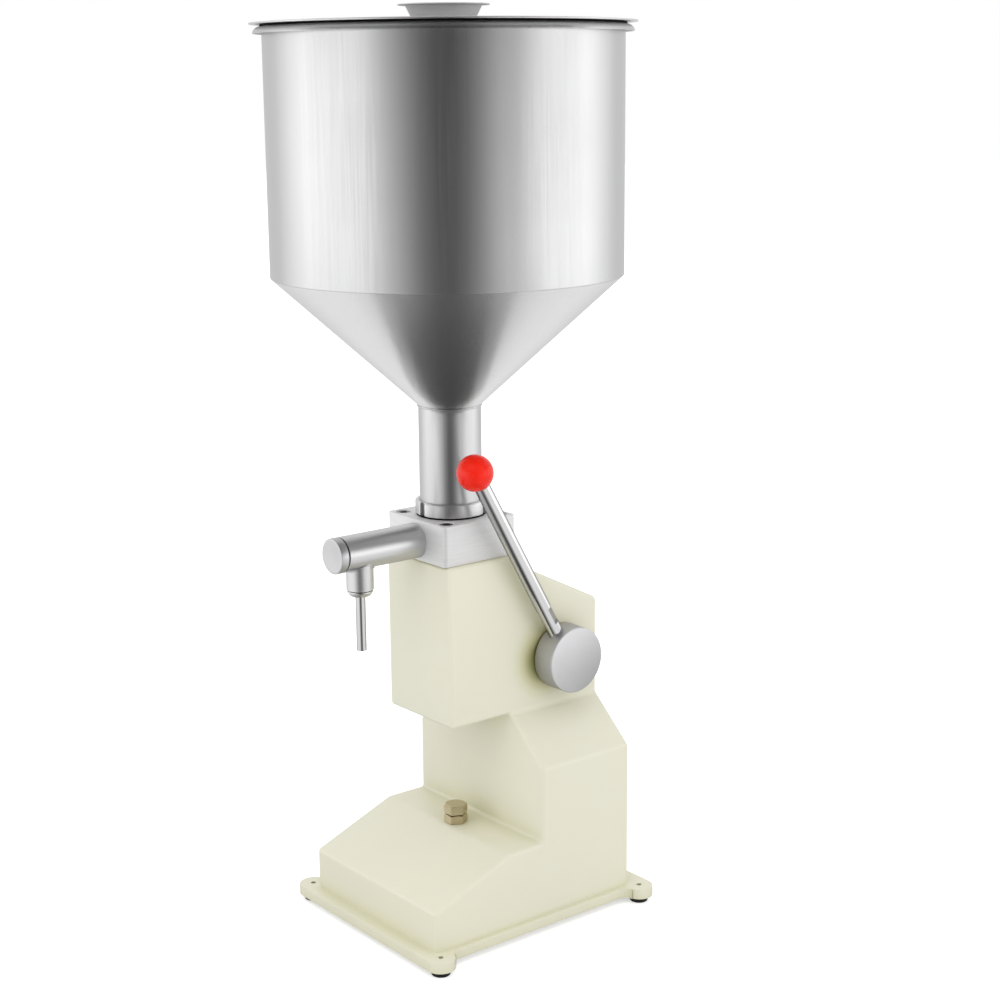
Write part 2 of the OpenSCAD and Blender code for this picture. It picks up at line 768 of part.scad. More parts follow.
module inlet_seat() color(steel) translate([0, 0, seat_low]) difference() {
    cylinder(h = seat_plate_t, r = ferrule_r);
    translate([0, 0, -over]) cylinder(h = seat_plate_t, r = seat_r);
    translate([0, 0, seat_plate_t / 3])
        cylinder(h = seat_plate_t, r1 = seat_r, r2 = seat_r + 2 * seat_plate_t);
}

module inlet_ball() color(bright) translate([0, 0, inlet_ball_z]) sphere(r = valve_r);

module inlet_spring() color(steel)
    coil(inlet_coil_r, top_z + spider_t, inlet_ball_z - coil_off(inlet_coil_r), inlet_turns);

// Outlet tube with its branch, welded into one piece
module outlet_tube() color(bright) difference() {
    union() {
        on_tube(tube_r, block_d / 2, tube_reach);
        on_tube(tube_spigot_r, tube_in, block_d / 2 + over);
        translate([0, -drop_y, branch_z]) cylinder(h = branch_len, r = branch_r);
    }
    on_tube(tube_bore_r, tube_in + tube_seat_t, tube_reach + over);
    on_tube(seat_r, tube_in - over, tube_reach);
    translate([0, -drop_y, branch_z - over]) cylinder(h = branch_len + over, r = holder_thread_r + run_gap);
}

module outlet_ball() color(bright) translate([0, -outlet_ball_y, tube_z]) sphere(r = valve_r);

module outlet_spring() color(steel) translate([0, 0, tube_z]) rotate([90, 0, 0])
    coil(outlet_coil_r, outlet_ball_y + coil_off(outlet_coil_r), tube_reach - cap_spigot_len, outlet_turns);

module end_cap() color(bright) {
    translate([0, 0, tube_z]) rotate([90, 0, 0]) rotate_extrude() polygon([
        [0, tube_reach - cap_spigot_len], [cap_spigot_r, tube_reach - cap_spigot_len],
        [cap_spigot_r, tube_reach + cap_seal_t], [tube_r - cap_edge / 2, tube_reach + cap_seal_t],
        [tube_r, tube_reach + cap_seal_t + cap_edge / 2], [tube_r, cap_front - cap_edge],
        [tube_r - cap_edge, cap_front], [0, cap_front]
    ]);
}

module cap_seal() color(black) difference() {
    on_tube(cap_seal_r, tube_reach, tube_reach + cap_seal_t);
    on_tube(cap_spigot_r + run_gap, tube_reach - over, tube_reach + cap_seal_t + over);
}

module nozzle_holder() color(steel) translate([0, -drop_y, 0]) rotate_extrude() polygon([
    [nozzle_root_r + run_gap, holder_z], [holder_r - holder_flange_t / 2, holder_z],
    [holder_r, holder_z + holder_flange_t * 0.75], [holder_r, holder_z + holder_flange_t],
    [holder_thread_r, holder_z + holder_flange_t], [holder_thread_r, holder_top],
    [nozzle_r + funnel_w, holder_top], [nozzle_root_r + run_gap, holder_top - funnel_w]
]);

module nozzle_seal() color(black) translate([0, -drop_y, branch_z - holder_seal_t]) difference() {
    cylinder(h = holder_seal_t, r = holder_r - holder_seal_t / 2);
    translate([0, 0, -over]) cylinder(h = holder_seal_t + 2 * over, r = holder_thread_r + run_gap);
}

// Drop nozzle, whose thinner root is held in the nozzle holder
module nozzle_tube() color(bright) translate([0, -drop_y, 0]) rotate_extrude() polygon([
    [nozzle_bore_r, nozzle_z], [nozzle_r, nozzle_z], [nozzle_r, holder_z - nozzle_relief],
    [nozzle_root_r, holder_z - nozzle_relief], [nozzle_root_r, nozzle_top], [nozzle_bore_r, nozzle_top]
]);

// Hopper's straight wall with its rolled rim, mitred to the cone below it
module hopper_shell() color(bright) rotate_extrude($fn = 144) polygon(concat(
    [[hopper_r, wall_z], [hopper_r, rim_z - sheet_t]],
    arc([hopper_r, rim_z - rim_r], rim_r - sheet_t, 80, 0),
    arc([hopper_r, rim_z - rim_r], rim_r, 0, 90),
    [[hopper_r - sheet_t, rim_z - sheet_t / 2], wall_seam]
));

module hopper_cone() color(bright) rotate_extrude($fn = 144) polygon([
    [neck_r, cone_z], [hopper_r, wall_z], wall_seam, neck_seam
]);

// Hopper's neck, whose thick lower end stands in the valve block
module hopper_neck() color(bright) rotate_extrude() polygon([
    [ferrule_bore_r, seat_top], [ferrule_r, seat_top], [ferrule_r, ring_z], [neck_r, ring_z],
    [neck_r, cone_z], neck_seam, [neck_r - neck_t, ring_z + ferrule_h],
    [ferrule_bore_r, ring_z + ferrule_h / 2]
]);

module hopper_gasket() color(black) translate([0, 0, block_top]) difference() {
    cylinder(h = gasket_t, r = gasket_r);
    translate([0, 0, -over]) cylinder(h = gasket_t + 2 * over, r = socket_r);
}

module lock_ring() color(bright) translate([0, 0, ring_z]) difference() {
    rotate_extrude() polygon([
        [neck_r + run_gap, 0], [ring_d / 2 - ring_edge, 0], [ring_d / 2, ring_edge],
        [ring_d / 2, ring_h - ring_edge], [ring_d / 2 - ring_edge, ring_h], [neck_r + run_gap, ring_h]
    ]);
    for (i = [0:slot_count - 1]) rotate(360 * i / slot_count + slot_turn)
        translate([ring_d / 2 - slot_deep, -slot_w / 2, -over])
            cube([slot_deep + over, slot_w, ring_h + 2 * over]);
}

module lid() color(steel) rotate_extrude($fn = 144) polygon([
    [knob_screw_r + run_gap, lid_top - lid_t], [lid_step_r - lid_dish / 2, lid_top - lid_t],
    [lid_step_r, lid_edge_z], [lid_r, lid_edge_z],
    [lid_r, lid_edge_z + lid_t], [lid_step_r + lid_dish / 2, lid_edge_z + lid_t],
    [lid_step_r, lid_top], [knob_screw_r + run_gap, lid_top]
]);

// Ring welded under the lid, which keeps it in the middle of the hopper
module lid_skirt() color(steel) rotate_extrude($fn = 144)
    translate([skirt_r - lid_t, rim_z - skirt_h]) square([lid_t, lid_top - lid_t - rim_z + skirt_h]);

module lid_seal() color(black) translate([0, 0, rim_z + seat_gap]) difference() {
    cylinder(h = seal_h, r = seal_out_r, $fn = 144);
    translate([0, 0, -over]) cylinder(h = seal_h + 2 * over, r = skirt_r + run_gap, $fn = 144);
}

// Pressed bowl with a brim, screwed to the middle of the lid
module lid_knob() color(bright) translate([0, 0, lid_top]) rotate_extrude() polygon([
    [knob_screw_r + run_gap, 0], [knob_foot_r, 0], [knob_neck_r, knob_h - knob_t], [knob_r, knob_h - knob_t],
    [knob_r, knob_h], [knob_neck_r - knob_t, knob_h], [knob_foot_r - knob_t, knob_t],
    [knob_screw_r + run_gap, knob_t]
]);

// Screw through the knob and lid, with its nut under the lid
module knob_screw() color(nickel) translate([0, 0, lid_top]) {
    translate([0, 0, -lid_t - knob_screw_head_h])
        cylinder(h = lid_t + knob_t + knob_screw_head_h, r = knob_screw_r);
    translate([0, 0, knob_t]) cylinder(h = knob_screw_head_h, r = knob_screw_head_r);
    translate([0, 0, -lid_t - knob_screw_head_h]) hexagon(knob_screw_head_r, knob_screw_head_h);
}

module stop_bolt() color(nickel) translate([0, 0, bolt_head_z]) {
    intersection() {
        hexagon(hex_r, bolt_head_h);
        cylinder(h = bolt_head_h, r1 = hex_r + bolt_head_h, r2 = bolt_af / 2);
    }
    translate([0, 0, -bolt_len]) cylinder(h = bolt_len + bolt_head_h / 2, r = bolt_r);
}

module lock_nut() color(nickel) translate([0, 0, nut_z]) difference() {
    hexagon(hex_r, nut_h);
    translate([0, 0, -over]) cylinder(h = nut_h + 2 * over, r = bolt_r + run_gap);
}

// Depths of the piston rings' grooves below the piston's top
ring_depths = [for (share = ring_place_shares) piston_h * share];

module piston() color(steel) difference() {
    translate([0, 0, piston_top - piston_h]) cylinder(h = piston_h, r = piston_r);
    for (d = ring_depths) translate([0, 0, piston_top - d - ring_groove / 2]) difference() {
        cylinder(h = ring_groove, r = piston_r + over);
        translate([0, 0, -over]) cylinder(h = ring_groove + 2 * over, r = piston_r - ring_deep);
    }
    translate([0, 0, piston_top - piston_h - over]) cylinder(h = spigot_len + over, r = spigot_r + run_gap);
}

module piston_rings() color(black) for (d = ring_depths) translate([0, 0, piston_top - d]) rotate_extrude()
    translate([piston_r - ring_sec, 0]) circle(r = ring_sec, $fn = 24);

// Piston rod: foot that meets the stop bolt, crosshead with the fork's slot, and threaded end
module piston_rod() color(bright) difference() {
    union() {
        translate([0, 0, stem_low]) cylinder(h = pin_z - stem_low, r = stem_r);
        translate([-cross_half_x, -cross_front, pin_z - cross_half_z])
            cube([2 * cross_half_x, cross_front + cross_back, 2 * cross_half_z]);
        translate([0, 0, pin_z]) cylinder(h = piston_top - piston_h - pin_z, r = rod_upper_r);
        translate([0, 0, piston_top - piston_h - over]) cylinder(h = spigot_len, r = spigot_r);
    }
    for (y = [pin_front, pin_back]) translate([-cross_half_x - over, y, pin_z]) rotate([0, 90, 0])
        cylinder(h = 2 * (cross_half_x + over), r = pin_r + seat_gap);
    translate([-cross_half_x - over, pin_front, pin_z - pin_r - seat_gap])
        cube([2 * (cross_half_x + over), pin_back - pin_front, 2 * (pin_r + seat_gap)]);
}

module rod_bush() color(bronze) difference() {
    union() {
        translate([0, 0, head_z]) cylinder(h = head_floor_t, r = rod_bush_r);
        translate([0, 0, head_z - 2 * bush_flange_t]) cylinder(h = 2 * bush_flange_t, r = rod_bush_flange_r);
    }
    translate([0, 0, head_z - 3 * bush_flange_t])
        cylinder(h = head_floor_t + 5 * bush_flange_t, r = stem_r + run_gap);
}

// Outline of one fork tine: the round eye and the tapering arm that leads to the hub
module tine_outline(big, small, length) {
    lean = asin((big - small) / length);
    side = [sin(lean), cos(lean)] * tine_side_share;
    translate([-length, 0]) circle(r = small);
    polygon([
        [-big * side.x, big * side.y], [-length - small * side.x, small * side.y],
        [-length - small * side.x, -small * side.y], [-big * side.x, -big * side.y]
    ]);
}

module fork_arm() color(iron) difference() {
    union() {
        on_shaft(arm_hub_r, -arm_hub_half, arm_hub_half);
        for (side = [0, 1]) mirror([side, 0, 0]) translate([tine_in, shaft_y, shaft_z])
            rotate([90, 0, 90]) rotate(-arm_rise) linear_extrude(tine_t)
                tine_outline(arm_hub_r, arm_eye_r, arm_len);
        translate([0, shaft_y, shaft_z]) rotate([-arm_rise, 0, 0])
            translate([-tine_in - tine_t / 2, -web_reach, -web_t / 2])
                cube([2 * tine_in + tine_t, web_reach, web_t]);
    }
    on_shaft(shaft_r + run_gap, -arm_hub_half - over, arm_hub_half + over);
    translate([-tine_out - over, pin_y, pin_z]) rotate([0, 90, 0])
        cylinder(h = 2 * (tine_out + over), r = pin_r + run_gap);
    translate([-arm_hub_half - over, shaft_y, shaft_z - key_w / 2 - run_gap])
        cube([2 * (arm_hub_half + over), shaft_r + key_deep + run_gap, key_w + 2 * run_gap]);
}

module cross_pin() color(bright) translate([-pin_half, pin_y, pin_z]) rotate([0, 90, 0]) difference() {
    cylinder(h = 2 * pin_half, r = pin_r);
    for (z = [pin_half - tine_out - clip_t - run_gap, pin_half + tine_out])
        translate([0, 0, z]) difference() {
            cylinder(h = clip_t + run_gap, r = pin_r + over);
            translate([0, 0, -over]) cylinder(h = clip_t + 3 * over, r = pin_r - clip_groove);
        }
}

// Open spring clip in the plane Z = 0, on a groove of radius r
module open_clip(r, outer) {
    linear_extrude(clip_t) difference() {
        circle(r = outer);
        circle(r = r + run_gap);
        translate([0, -r * 0.7]) square([outer + over, 1.4 * r]);
    }
}

module pin_clips() color(steel) for (side = [0, 1]) mirror([side, 0, 0])
    translate([tine_out, pin_y, pin_z]) rotate([0, 90, 0]) open_clip(pin_r - clip_groove, pin_clip_r);

module lever_shaft() color(bright) difference() {
    on_shaft(shaft_r, -shaft_left, shaft_right);
    difference() {
        on_shaft(shaft_r + over, -clip_x - clip_t - run_gap, -clip_x);
        on_shaft(shaft_r - clip_groove, -clip_x - clip_t - over, -clip_x + over);
    }
    translate([-key_len / 2 - run_gap, shaft_y + shaft_r - key_deep, shaft_z - key_w / 2 - run_gap])
        cube([key_len + 2 * run_gap, key_w, key_w + 2 * run_gap]);
}

module shaft_key() color(steel) translate([-key_len / 2, shaft_y + shaft_r - key_deep, shaft_z - key_w / 2])
    cube([key_len, 2 * key_deep, key_w]);

// Flanged bush pressed into one side wall of the head
module shaft_bush() color(bronze) difference() {
    union() {
        on_shaft(bush_r, bearing_in, head_half);
        on_shaft(bush_flange_r, head_half, head_half + bush_flange_t);
    }
    on_shaft(shaft_r + run_gap, bearing_in - over, head_half + bush_flange_t + over);
}

module shaft_clip() color(steel) translate([-clip_x - clip_t, shaft_y, shaft_z]) rotate([0, 90, 0])
    open_clip(shaft_r - clip_groove, shaft_r + clip_rim);

module lever_hub() color(bright) difference() {
    translate([hub_in, shaft_y, shaft_z]) rotate([0, 90, 0]) rotate_extrude() polygon([
        [0, 0], [hub_d / 2 - hub_edge, 0], [hub_d / 2, hub_edge],
        [hub_d / 2, hub_w - hub_edge], [hub_d / 2 - hub_edge, hub_w], [0, hub_w]
    ]);
    on_shaft(shaft_r + run_gap, hub_in - over, shaft_right + seat_gap);
    along_lever() translate([0, 0, rod_foot - seat_gap]) cylinder(h = hub_d, r = rod_r + run_gap);
    along_lever() mirror([0, 0, 1]) cylinder(h = hub_d, r = grub_r + run_gap);
}

// Grub screw that holds the hub on the shaft
module hub_screw() color(steel) along_lever() mirror([0, 0, 1])
    translate([0, 0, shaft_r + seat_gap]) difference() {
        cylinder(h = grub_len, r = grub_r);
        translate([0, 0, grub_len / 2]) hexagon(grub_r * grub_socket_share, grub_len);
    }

// Lever rod with its pair of spanner flats
module lever_rod() color(bright) along_lever() difference() {
    union() {
        translate([0, 0, rod_foot]) cylinder(h = rod_top - rod_foot, r = rod_r);
        translate([0, 0, rod_top - over]) cylinder(h = rod_tip_len + over, r = rod_tip_r);
    }
    for (turn = [flat_turn, flat_turn + 180]) rotate(turn)
        translate([flat_af / 2, -rod_r - over, flat_start]) cube([rod_r, 2 * (rod_r + over), flat_len]);
}

module ball_knob() color(red) along_lever() difference() {
    translate([0, 0, lever_len]) sphere(r = ball_r);
    translate([0, 0, rod_top - ball_d]) cylinder(h = ball_d, r = ball_r);
    translate([0, 0, rod_top - over]) cylinder(h = rod_tip_len + over + run_gap, r = rod_tip_r + run_gap);
}

body_casting();
rubber_foot(ear_places[0]);  // foot_front_left
rubber_foot(ear_places[1]);  // foot_front_right
rubber_foot(ear_places[2]);  // foot_rear_left
rubber_foot(ear_places[3]);  // foot_rear_right
foot_screws();
valve_block();
block_screws();
cylinder_liner();
liner_seal();
spring_seat();
inlet_seat();
inlet_ball();
inlet_spring();
outlet_tube();
outlet_ball();
outlet_spring();
end_cap();
cap_seal();
nozzle_holder();
nozzle_seal();
nozzle_tube();
hopper_shell();
hopper_cone();
hopper_neck();
hopper_gasket();
lock_ring();
lid();
lid_skirt();
lid_seal();
lid_knob();
knob_screw();
stop_bolt();
lock_nut();
piston();
piston_rings();
piston_rod();
rod_bush();
fork_arm();
cross_pin();
pin_clips();
lever_shaft();
shaft_key();
shaft_bush();  // shaft_bush_right
mirror([1, 0, 0]) shaft_bush();  // shaft_bush_left
shaft_clip();
lever_hub();
hub_screw();
lever_rod();
ball_knob();
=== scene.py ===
import bpy
import bmesh
import json
import math
from mathutils import Matrix, Vector


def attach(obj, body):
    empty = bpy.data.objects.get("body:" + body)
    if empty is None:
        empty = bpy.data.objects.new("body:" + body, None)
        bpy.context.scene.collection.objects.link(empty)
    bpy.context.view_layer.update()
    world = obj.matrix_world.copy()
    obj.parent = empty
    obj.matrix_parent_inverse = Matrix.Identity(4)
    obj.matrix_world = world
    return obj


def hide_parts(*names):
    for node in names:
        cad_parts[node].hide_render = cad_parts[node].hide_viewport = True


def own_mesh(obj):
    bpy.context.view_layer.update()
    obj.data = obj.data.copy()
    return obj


# Manual paste filling machine: cream casting, steel valve block and hopper, hand lever
# Lengths in the dictionaries are millimetres, and mm turns them into metres

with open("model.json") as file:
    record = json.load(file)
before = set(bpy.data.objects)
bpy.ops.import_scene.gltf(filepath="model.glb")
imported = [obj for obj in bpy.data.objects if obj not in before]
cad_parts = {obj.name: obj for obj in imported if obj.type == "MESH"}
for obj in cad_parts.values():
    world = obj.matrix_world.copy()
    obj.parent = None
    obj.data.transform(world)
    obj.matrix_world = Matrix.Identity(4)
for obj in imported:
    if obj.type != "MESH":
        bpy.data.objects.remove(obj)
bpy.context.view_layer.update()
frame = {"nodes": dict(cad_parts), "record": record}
scene = bpy.context.scene
mm = 0.001
print("frame loaded,", len(frame["nodes"]), "CAD nodes")


# Mesh helpers

def finishPiece(name, bm, material, body, replaced=(), sharp=35):
    bmesh.ops.recalc_face_normals(bm, faces=bm.faces)
    mesh = bpy.data.meshes.new(name)
    bm.to_mesh(mesh)
    bm.free()
    piece = bpy.data.objects.new(name, mesh)
    scene.collection.objects.link(piece)
    for p in mesh.polygons:
        p.use_smooth = True
    mesh.set_sharp_from_angle(angle=math.radians(sharp))
    mesh.materials.append(material)
    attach(piece, body)
    if replaced:
        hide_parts(*replaced)
    return piece


def steelPiece(name, bm, material, replaced, sharp=35):
    return finishPiece(name, bm, material, "stand", [replaced], sharp)


def roundedPath(points, steps=4, closed=True):
    # points are (a, b) or (a, b, corner radius); returns plain (a, b) pairs with the corners rounded
    out = []
    count = len(points)
    for i, p in enumerate(points):
        r = p[2] if len(p) > 2 else 0
        end = not closed and i in (0, count - 1)
        if r <= 0 or end:
            out.append((p[0], p[1]))
            continue
        here = Vector(p[:2])
        before = (Vector(points[i - 1][:2]) - here)
        after = (Vector(points[(i + 1) % count][:2]) - here)
        u, w = before.normalized(), after.normalized()
        half = math.acos(max(-1, min(1, u.dot(w)))) / 2
        reach = min(r / math.tan(half), before.length * 0.49, after.length * 0.49)
        radius = reach * math.tan(half)
        mid = here + (u + w).normalized() * radius / math.sin(half)
        start, stop = here + u * reach - mid, here + w * reach - mid
        turn = math.atan2(start.x * stop.y - start.y * stop.x, start.dot(stop))
        for k in range(steps + 1):
            a = turn * k / steps
            out.append((mid.x + start.x * math.cos(a) - start.y * math.sin(a),
                        mid.y + start.x * math.sin(a) + start.y * math.cos(a)))
    return out


def moved(x, y, z=0):
    return Matrix.Translation((x * mm, y * mm, z * mm))


def turned(degrees, axis):
    return Matrix.Rotation(math.radians(degrees), 4, axis)


def latheMesh(profile, steps=160, place=None):
    # Revolves a closed profile of (radius, height) pairs in mm about Z; place is a matrix for the result
    bm = bmesh.new()
    angles = [2 * math.pi * i / steps for i in range(steps)]
    rings = []
    for r, z in profile:
        if r < 1e-6:
            rings.append([bm.verts.new((0, 0, z * mm))])
        else:
            rings.append([bm.verts.new((r * mm * math.cos(a), r * mm * math.sin(a), z * mm)) for a in angles])
    for low, high in zip(rings, rings[1:] + rings[:1]):
        if len(low) == 1 and len(high) == 1:
            continue
        for i in range(steps):
            j = (i + 1) % steps
            if len(low) == 1:
                bm.faces.new((low[0], high[j], high[i]))
            elif len(high) == 1:
                bm.faces.new((low[i], low[j], high[0]))
            else:
                bm.faces.new((low[i], low[j], high[j], high[i]))
    if place:
        bm.transform(place)
    return bm


def prismMesh(outline, start, stop, axis="Z"):
    # Extrudes a closed outline in mm along one axis; the outline's plane is the other two in XYZ order
    def place(a, b, c):
        return {"X": (c, a, b), "Y": (a, c, b), "Z": (a, b, c)}[axis]
    bm = bmesh.new()
    low = [bm.verts.new([v * mm for v in place(a, b, start)]) for a, b in outline]
    high = [bm.verts.new([v * mm for v in place(a, b, stop)]) for a, b in outline]
    bm.faces.new(low)
    bm.faces.new(high)
    for i in range(len(outline)):
        j = (i + 1) % len(outline)
        bm.faces.new((low[i], low[j], high[j], high[i]))
    bmesh.ops.recalc_face_normals(bm, faces=bm.faces)
    return bm


def rodMesh(radius, start, stop, axis="Z", at=(0, 0), steps=48):
    # Plain round bar for cutting or joining, between two places along one axis
    angles = [2 * math.pi * i / steps for i in range(steps)]
    outline = [(at[0] + radius * math.cos(a), at[1] + radius * math.sin(a)) for a in angles]
    return prismMesh(outline, start, stop, axis)


def joined(bm, other, operation):
    # Boolean of two bmeshes through the exact solver; both are used up
    objects = []
    for part in (bm, other):
        bmesh.ops.recalc_face_normals(part, faces=part.faces)
        mesh = bpy.data.meshes.new("work")
        part.to_mesh(mesh)
        part.free()
        objects.append(bpy.data.objects.new("work", mesh))
        scene.collection.objects.link(objects[-1])
    modifier = objects[0].modifiers.new("join", "BOOLEAN")
    modifier.operation = operation
    modifier.solver = "EXACT"
    modifier.object = objects[1]
    evaluated = objects[0].evaluated_get(bpy.context.evaluated_depsgraph_get())
    result = bmesh.new()
    result.from_mesh(evaluated.to_mesh())
    evaluated.to_mesh_clear()
    for o in objects:
        mesh = o.data
        bpy.data.objects.remove(o)
        bpy.data.meshes.remove(mesh)
    bmesh.ops.remove_doubles(result, verts=result.verts, dist=1e-7)
    return result


def cut(bm, tool):
    return joined(bm, tool, "DIFFERENCE")


def roundEdges(bm, width, chosen, segments=3):
    edges = [e for e in bm.edges if len(e.link_faces) == 2 and chosen(e)]
    bmesh.ops.bevel(bm, geom=edges, offset=width * mm, offset_type="OFFSET", segments=segments, profile=0.5,
                    affect="EDGES", clamp_overlap=True, miter_outer="SHARP")
    return bm


def isCorner(edge, least=0.3):
    return edge.calc_face_angle(0) > least


def flatJoined(bm):
    bmesh.ops.dissolve_limit(bm, angle_limit=0.002, verts=bm.verts, edges=bm.edges)
    return bm


def sweptMesh(path, radius, sides=10, closed=True):
    # Round bead along a closed or open path of points in metres
    bm = bmesh.new()
    rings = []
    count = len(path)
    for i, p in enumerate(path):
        ahead = path[(i + 1) % count] if closed or i < count - 1 else p
        behind = path[i - 1] if closed or i else p
        along = (ahead - behind).normalized()
        side = along.orthogonal() if abs(along.z) > 0.95 else along.cross(Vector((0, 0, 1))).normalized()
        side = side.normalized()
        up = side.cross(along).normalized()
        r = radius(i / count) if callable(radius) else radius
        rings.append([bm.verts.new(p + (side * math.cos(2 * math.pi * k / sides)
                                        + up * math.sin(2 * math.pi * k / sides)) * r) for k in range(sides)])
    for i in range(count if closed else count - 1):
        low, high = rings[i], rings[(i + 1) % count]
        for k in range(sides):
            m = (k + 1) % sides
            bm.faces.new((low[k], low[m], high[m], high[k]))
    if not closed:
        bm.faces.new(rings[0])
        bm.faces.new(rings[-1])
    return bm


def addTo(bm, other):
    mesh = bpy.data.meshes.new("work")
    other.to_mesh(mesh)
    other.free()
    bm.from_mesh(mesh)
    bpy.data.meshes.remove(mesh)
    return bm


# Materials

def newMaterial(name, metallic, roughness, color):
    material = bpy.data.materials.new(name)
    material.use_nodes = True
    shader = material.node_tree.nodes["Principled BSDF"]
    shader.inputs["Metallic"].default_value = metallic
    shader.inputs["Roughness"].default_value = roughness
    shader.inputs["Base Color"].default_value = (*color, 1)
    if metallic:
        shader.inputs["Specular Tint"].default_value = (0.8, 0.8, 0.8, 1)
    return material, material.node_tree, shader


def adjust(material, values):
    for socket, value in values.items():
        material.node_tree.nodes["Principled BSDF"].inputs[socket].default_value = value


def coordinates(tree, kind="Object"):
    return tree.nodes.new("ShaderNodeTexCoord").outputs[kind]


def splitVector(tree, vector):
    node = tree.nodes.new("ShaderNodeSeparateXYZ")
    tree.links.new(vector, node.inputs[0])
    return node.outputs


def mathNode(tree, operation, first, second):
    node = tree.nodes.new("ShaderNodeMath")
    node.operation = operation
    for socket, value in zip(node.inputs, (first, second)):
        if isinstance(value, (int, float)):
            socket.default_value = value
        else:
            tree.links.new(value, socket)
    return node.outputs[0]


def vectorNode(tree, operation, vector, second=None):
    node = tree.nodes.new("ShaderNodeVectorMath")
    node.operation = operation
    tree.links.new(vector, node.inputs[0])
    if second is not None:
        node.inputs[1].default_value = second
    return node


def tintRamp(tree, value, stops):
    # Colours at places from 0 to 1, first and last included
    node = tree.nodes.new("ShaderNodeValToRGB")
    elements = node.color_ramp.elements
    for element, (position, tint) in zip(elements, (stops[0], stops[-1])):
        element.position, element.color = position, (*tint, 1)
    for position, tint in stops[1:-1]:
        elements.new(position).color = (*tint, 1)
    tree.links.new(value, node.inputs[0])
    return node.outputs["Color"]


def multiplied(tree, first, second, share=None):
    node = tree.nodes.new("ShaderNodeMix")
    node.data_type = "RGBA"
    node.blend_type = "MULTIPLY"
    node.inputs[0].default_value = 1
    if share is not None:
        tree.links.new(share, node.inputs[0])
    tree.links.new(first, node.inputs[6])
    tree.links.new(second, node.inputs[7])
    return node.outputs[2]


def noiseAt(tree, scale, stretch=(1, 1, 1), detail=4):
    # Noise in the object's own metres, stretched along its axes
    mapping = tree.nodes.new("ShaderNodeMapping")
    mapping.inputs["Scale"].default_value = stretch
    noise = tree.nodes.new("ShaderNodeTexNoise")
    noise.inputs["Scale"].default_value = scale
    noise.inputs["Detail"].default_value = detail
    tree.links.new(coordinates(tree), mapping.inputs["Vector"])
    tree.links.new(mapping.outputs["Vector"], noise.inputs["Vector"])
    return noise.outputs["Fac"]


def ranged(tree, value, low, high, fromLow=0.3, fromHigh=0.7):
    node = tree.nodes.new("ShaderNodeMapRange")
    node.inputs["From Min"].default_value = fromLow
    node.inputs["From Max"].default_value = fromHigh
    node.inputs["To Min"].default_value = low
    node.inputs["To Max"].default_value = high
    tree.links.new(value, node.inputs["Value"])
    return node.outputs["Result"]


def mixedColor(tree, factor, first, second):
    node = tree.nodes.new("ShaderNodeMix")
    node.data_type = "RGBA"
    node.inputs[6].default_value = (*first, 1)
    node.inputs[7].default_value = (*second, 1)
    tree.links.new(factor, node.inputs[0])
    return node.outputs[2]


def bumped(tree, height, strength, distance, under=None):
    node = tree.nodes.new("ShaderNodeBump")
    node.inputs["Strength"].default_value = strength
    node.inputs["Distance"].default_value = distance
    tree.links.new(height, node.inputs["Height"])
    if under:
        tree.links.new(under, node.inputs["Normal"])
    return node.outputs["Normal"]


def shaded(color, share):
    return tuple(min(1, c * share) for c in color)


def steelMaterial(name, color, roughness, grain, grainScale=1, spread=0.05, stretch=0, bump=0.15):
    # Brushed metal: grain is the stretch of its lines, spread the change in roughness, stretch the long gloss
    material, tree, shader = newMaterial(name, 1, roughness, color)
    lines = noiseAt(tree, 900 * grainScale, grain, 5)
    patches = noiseAt(tree, 14, (1, 1, 1), 3)
    tree.links.new(mixedColor(tree, ranged(tree, lines, 0, 1), shaded(color, 0.965), shaded(color, 1.035)),
                   shader.inputs["Base Color"])
    total = mathNode(tree, "ADD", ranged(tree, lines, roughness - spread, roughness + spread),
                     ranged(tree, patches, -spread * 0.4, spread * 0.4))
    tree.links.new(total, shader.inputs["Roughness"])
    tree.links.new(bumped(tree, lines, bump, 0.00004), shader.inputs["Normal"])
    if stretch:
        shader.inputs["Anisotropic"].default_value = stretch
        shader.inputs["Anisotropic Rotation"].default_value = 0.25
        tangent = tree.nodes.new("ShaderNodeTangent")
        tangent.direction_type = "RADIAL"
        tangent.axis = "Z"
        tree.links.new(tangent.outputs["Tangent"], shader.inputs["Tangent"])
    return material


# Tints of the enamel: painted shade by the share of open air with its colours, then a painted shadow as a round patch
# on the casting's right side
hollowShade = [(0.12, (0.45, 0.45, 0.30)), (0.30, (0.74, 0.735, 0.58)), (0.50, (0.93, 0.925, 0.83)),
           (0.72, (0.98, 0.98, 0.94)), (0.92, (1, 1, 1))]
hubShadow = {
    "y": 58, "z": 203, "inner": 13, "outer": 33, "sideFrom": 0.036, "sideTo": 0.038,
    "tints": [(0.0, (0.40, 0.40, 0.22)), (0.18, (0.60, 0.595, 0.40)), (0.36, (0.80, 0.795, 0.62)),
              (0.62, (0.94, 0.935, 0.84)), (1.0, (1, 1, 1))],
}


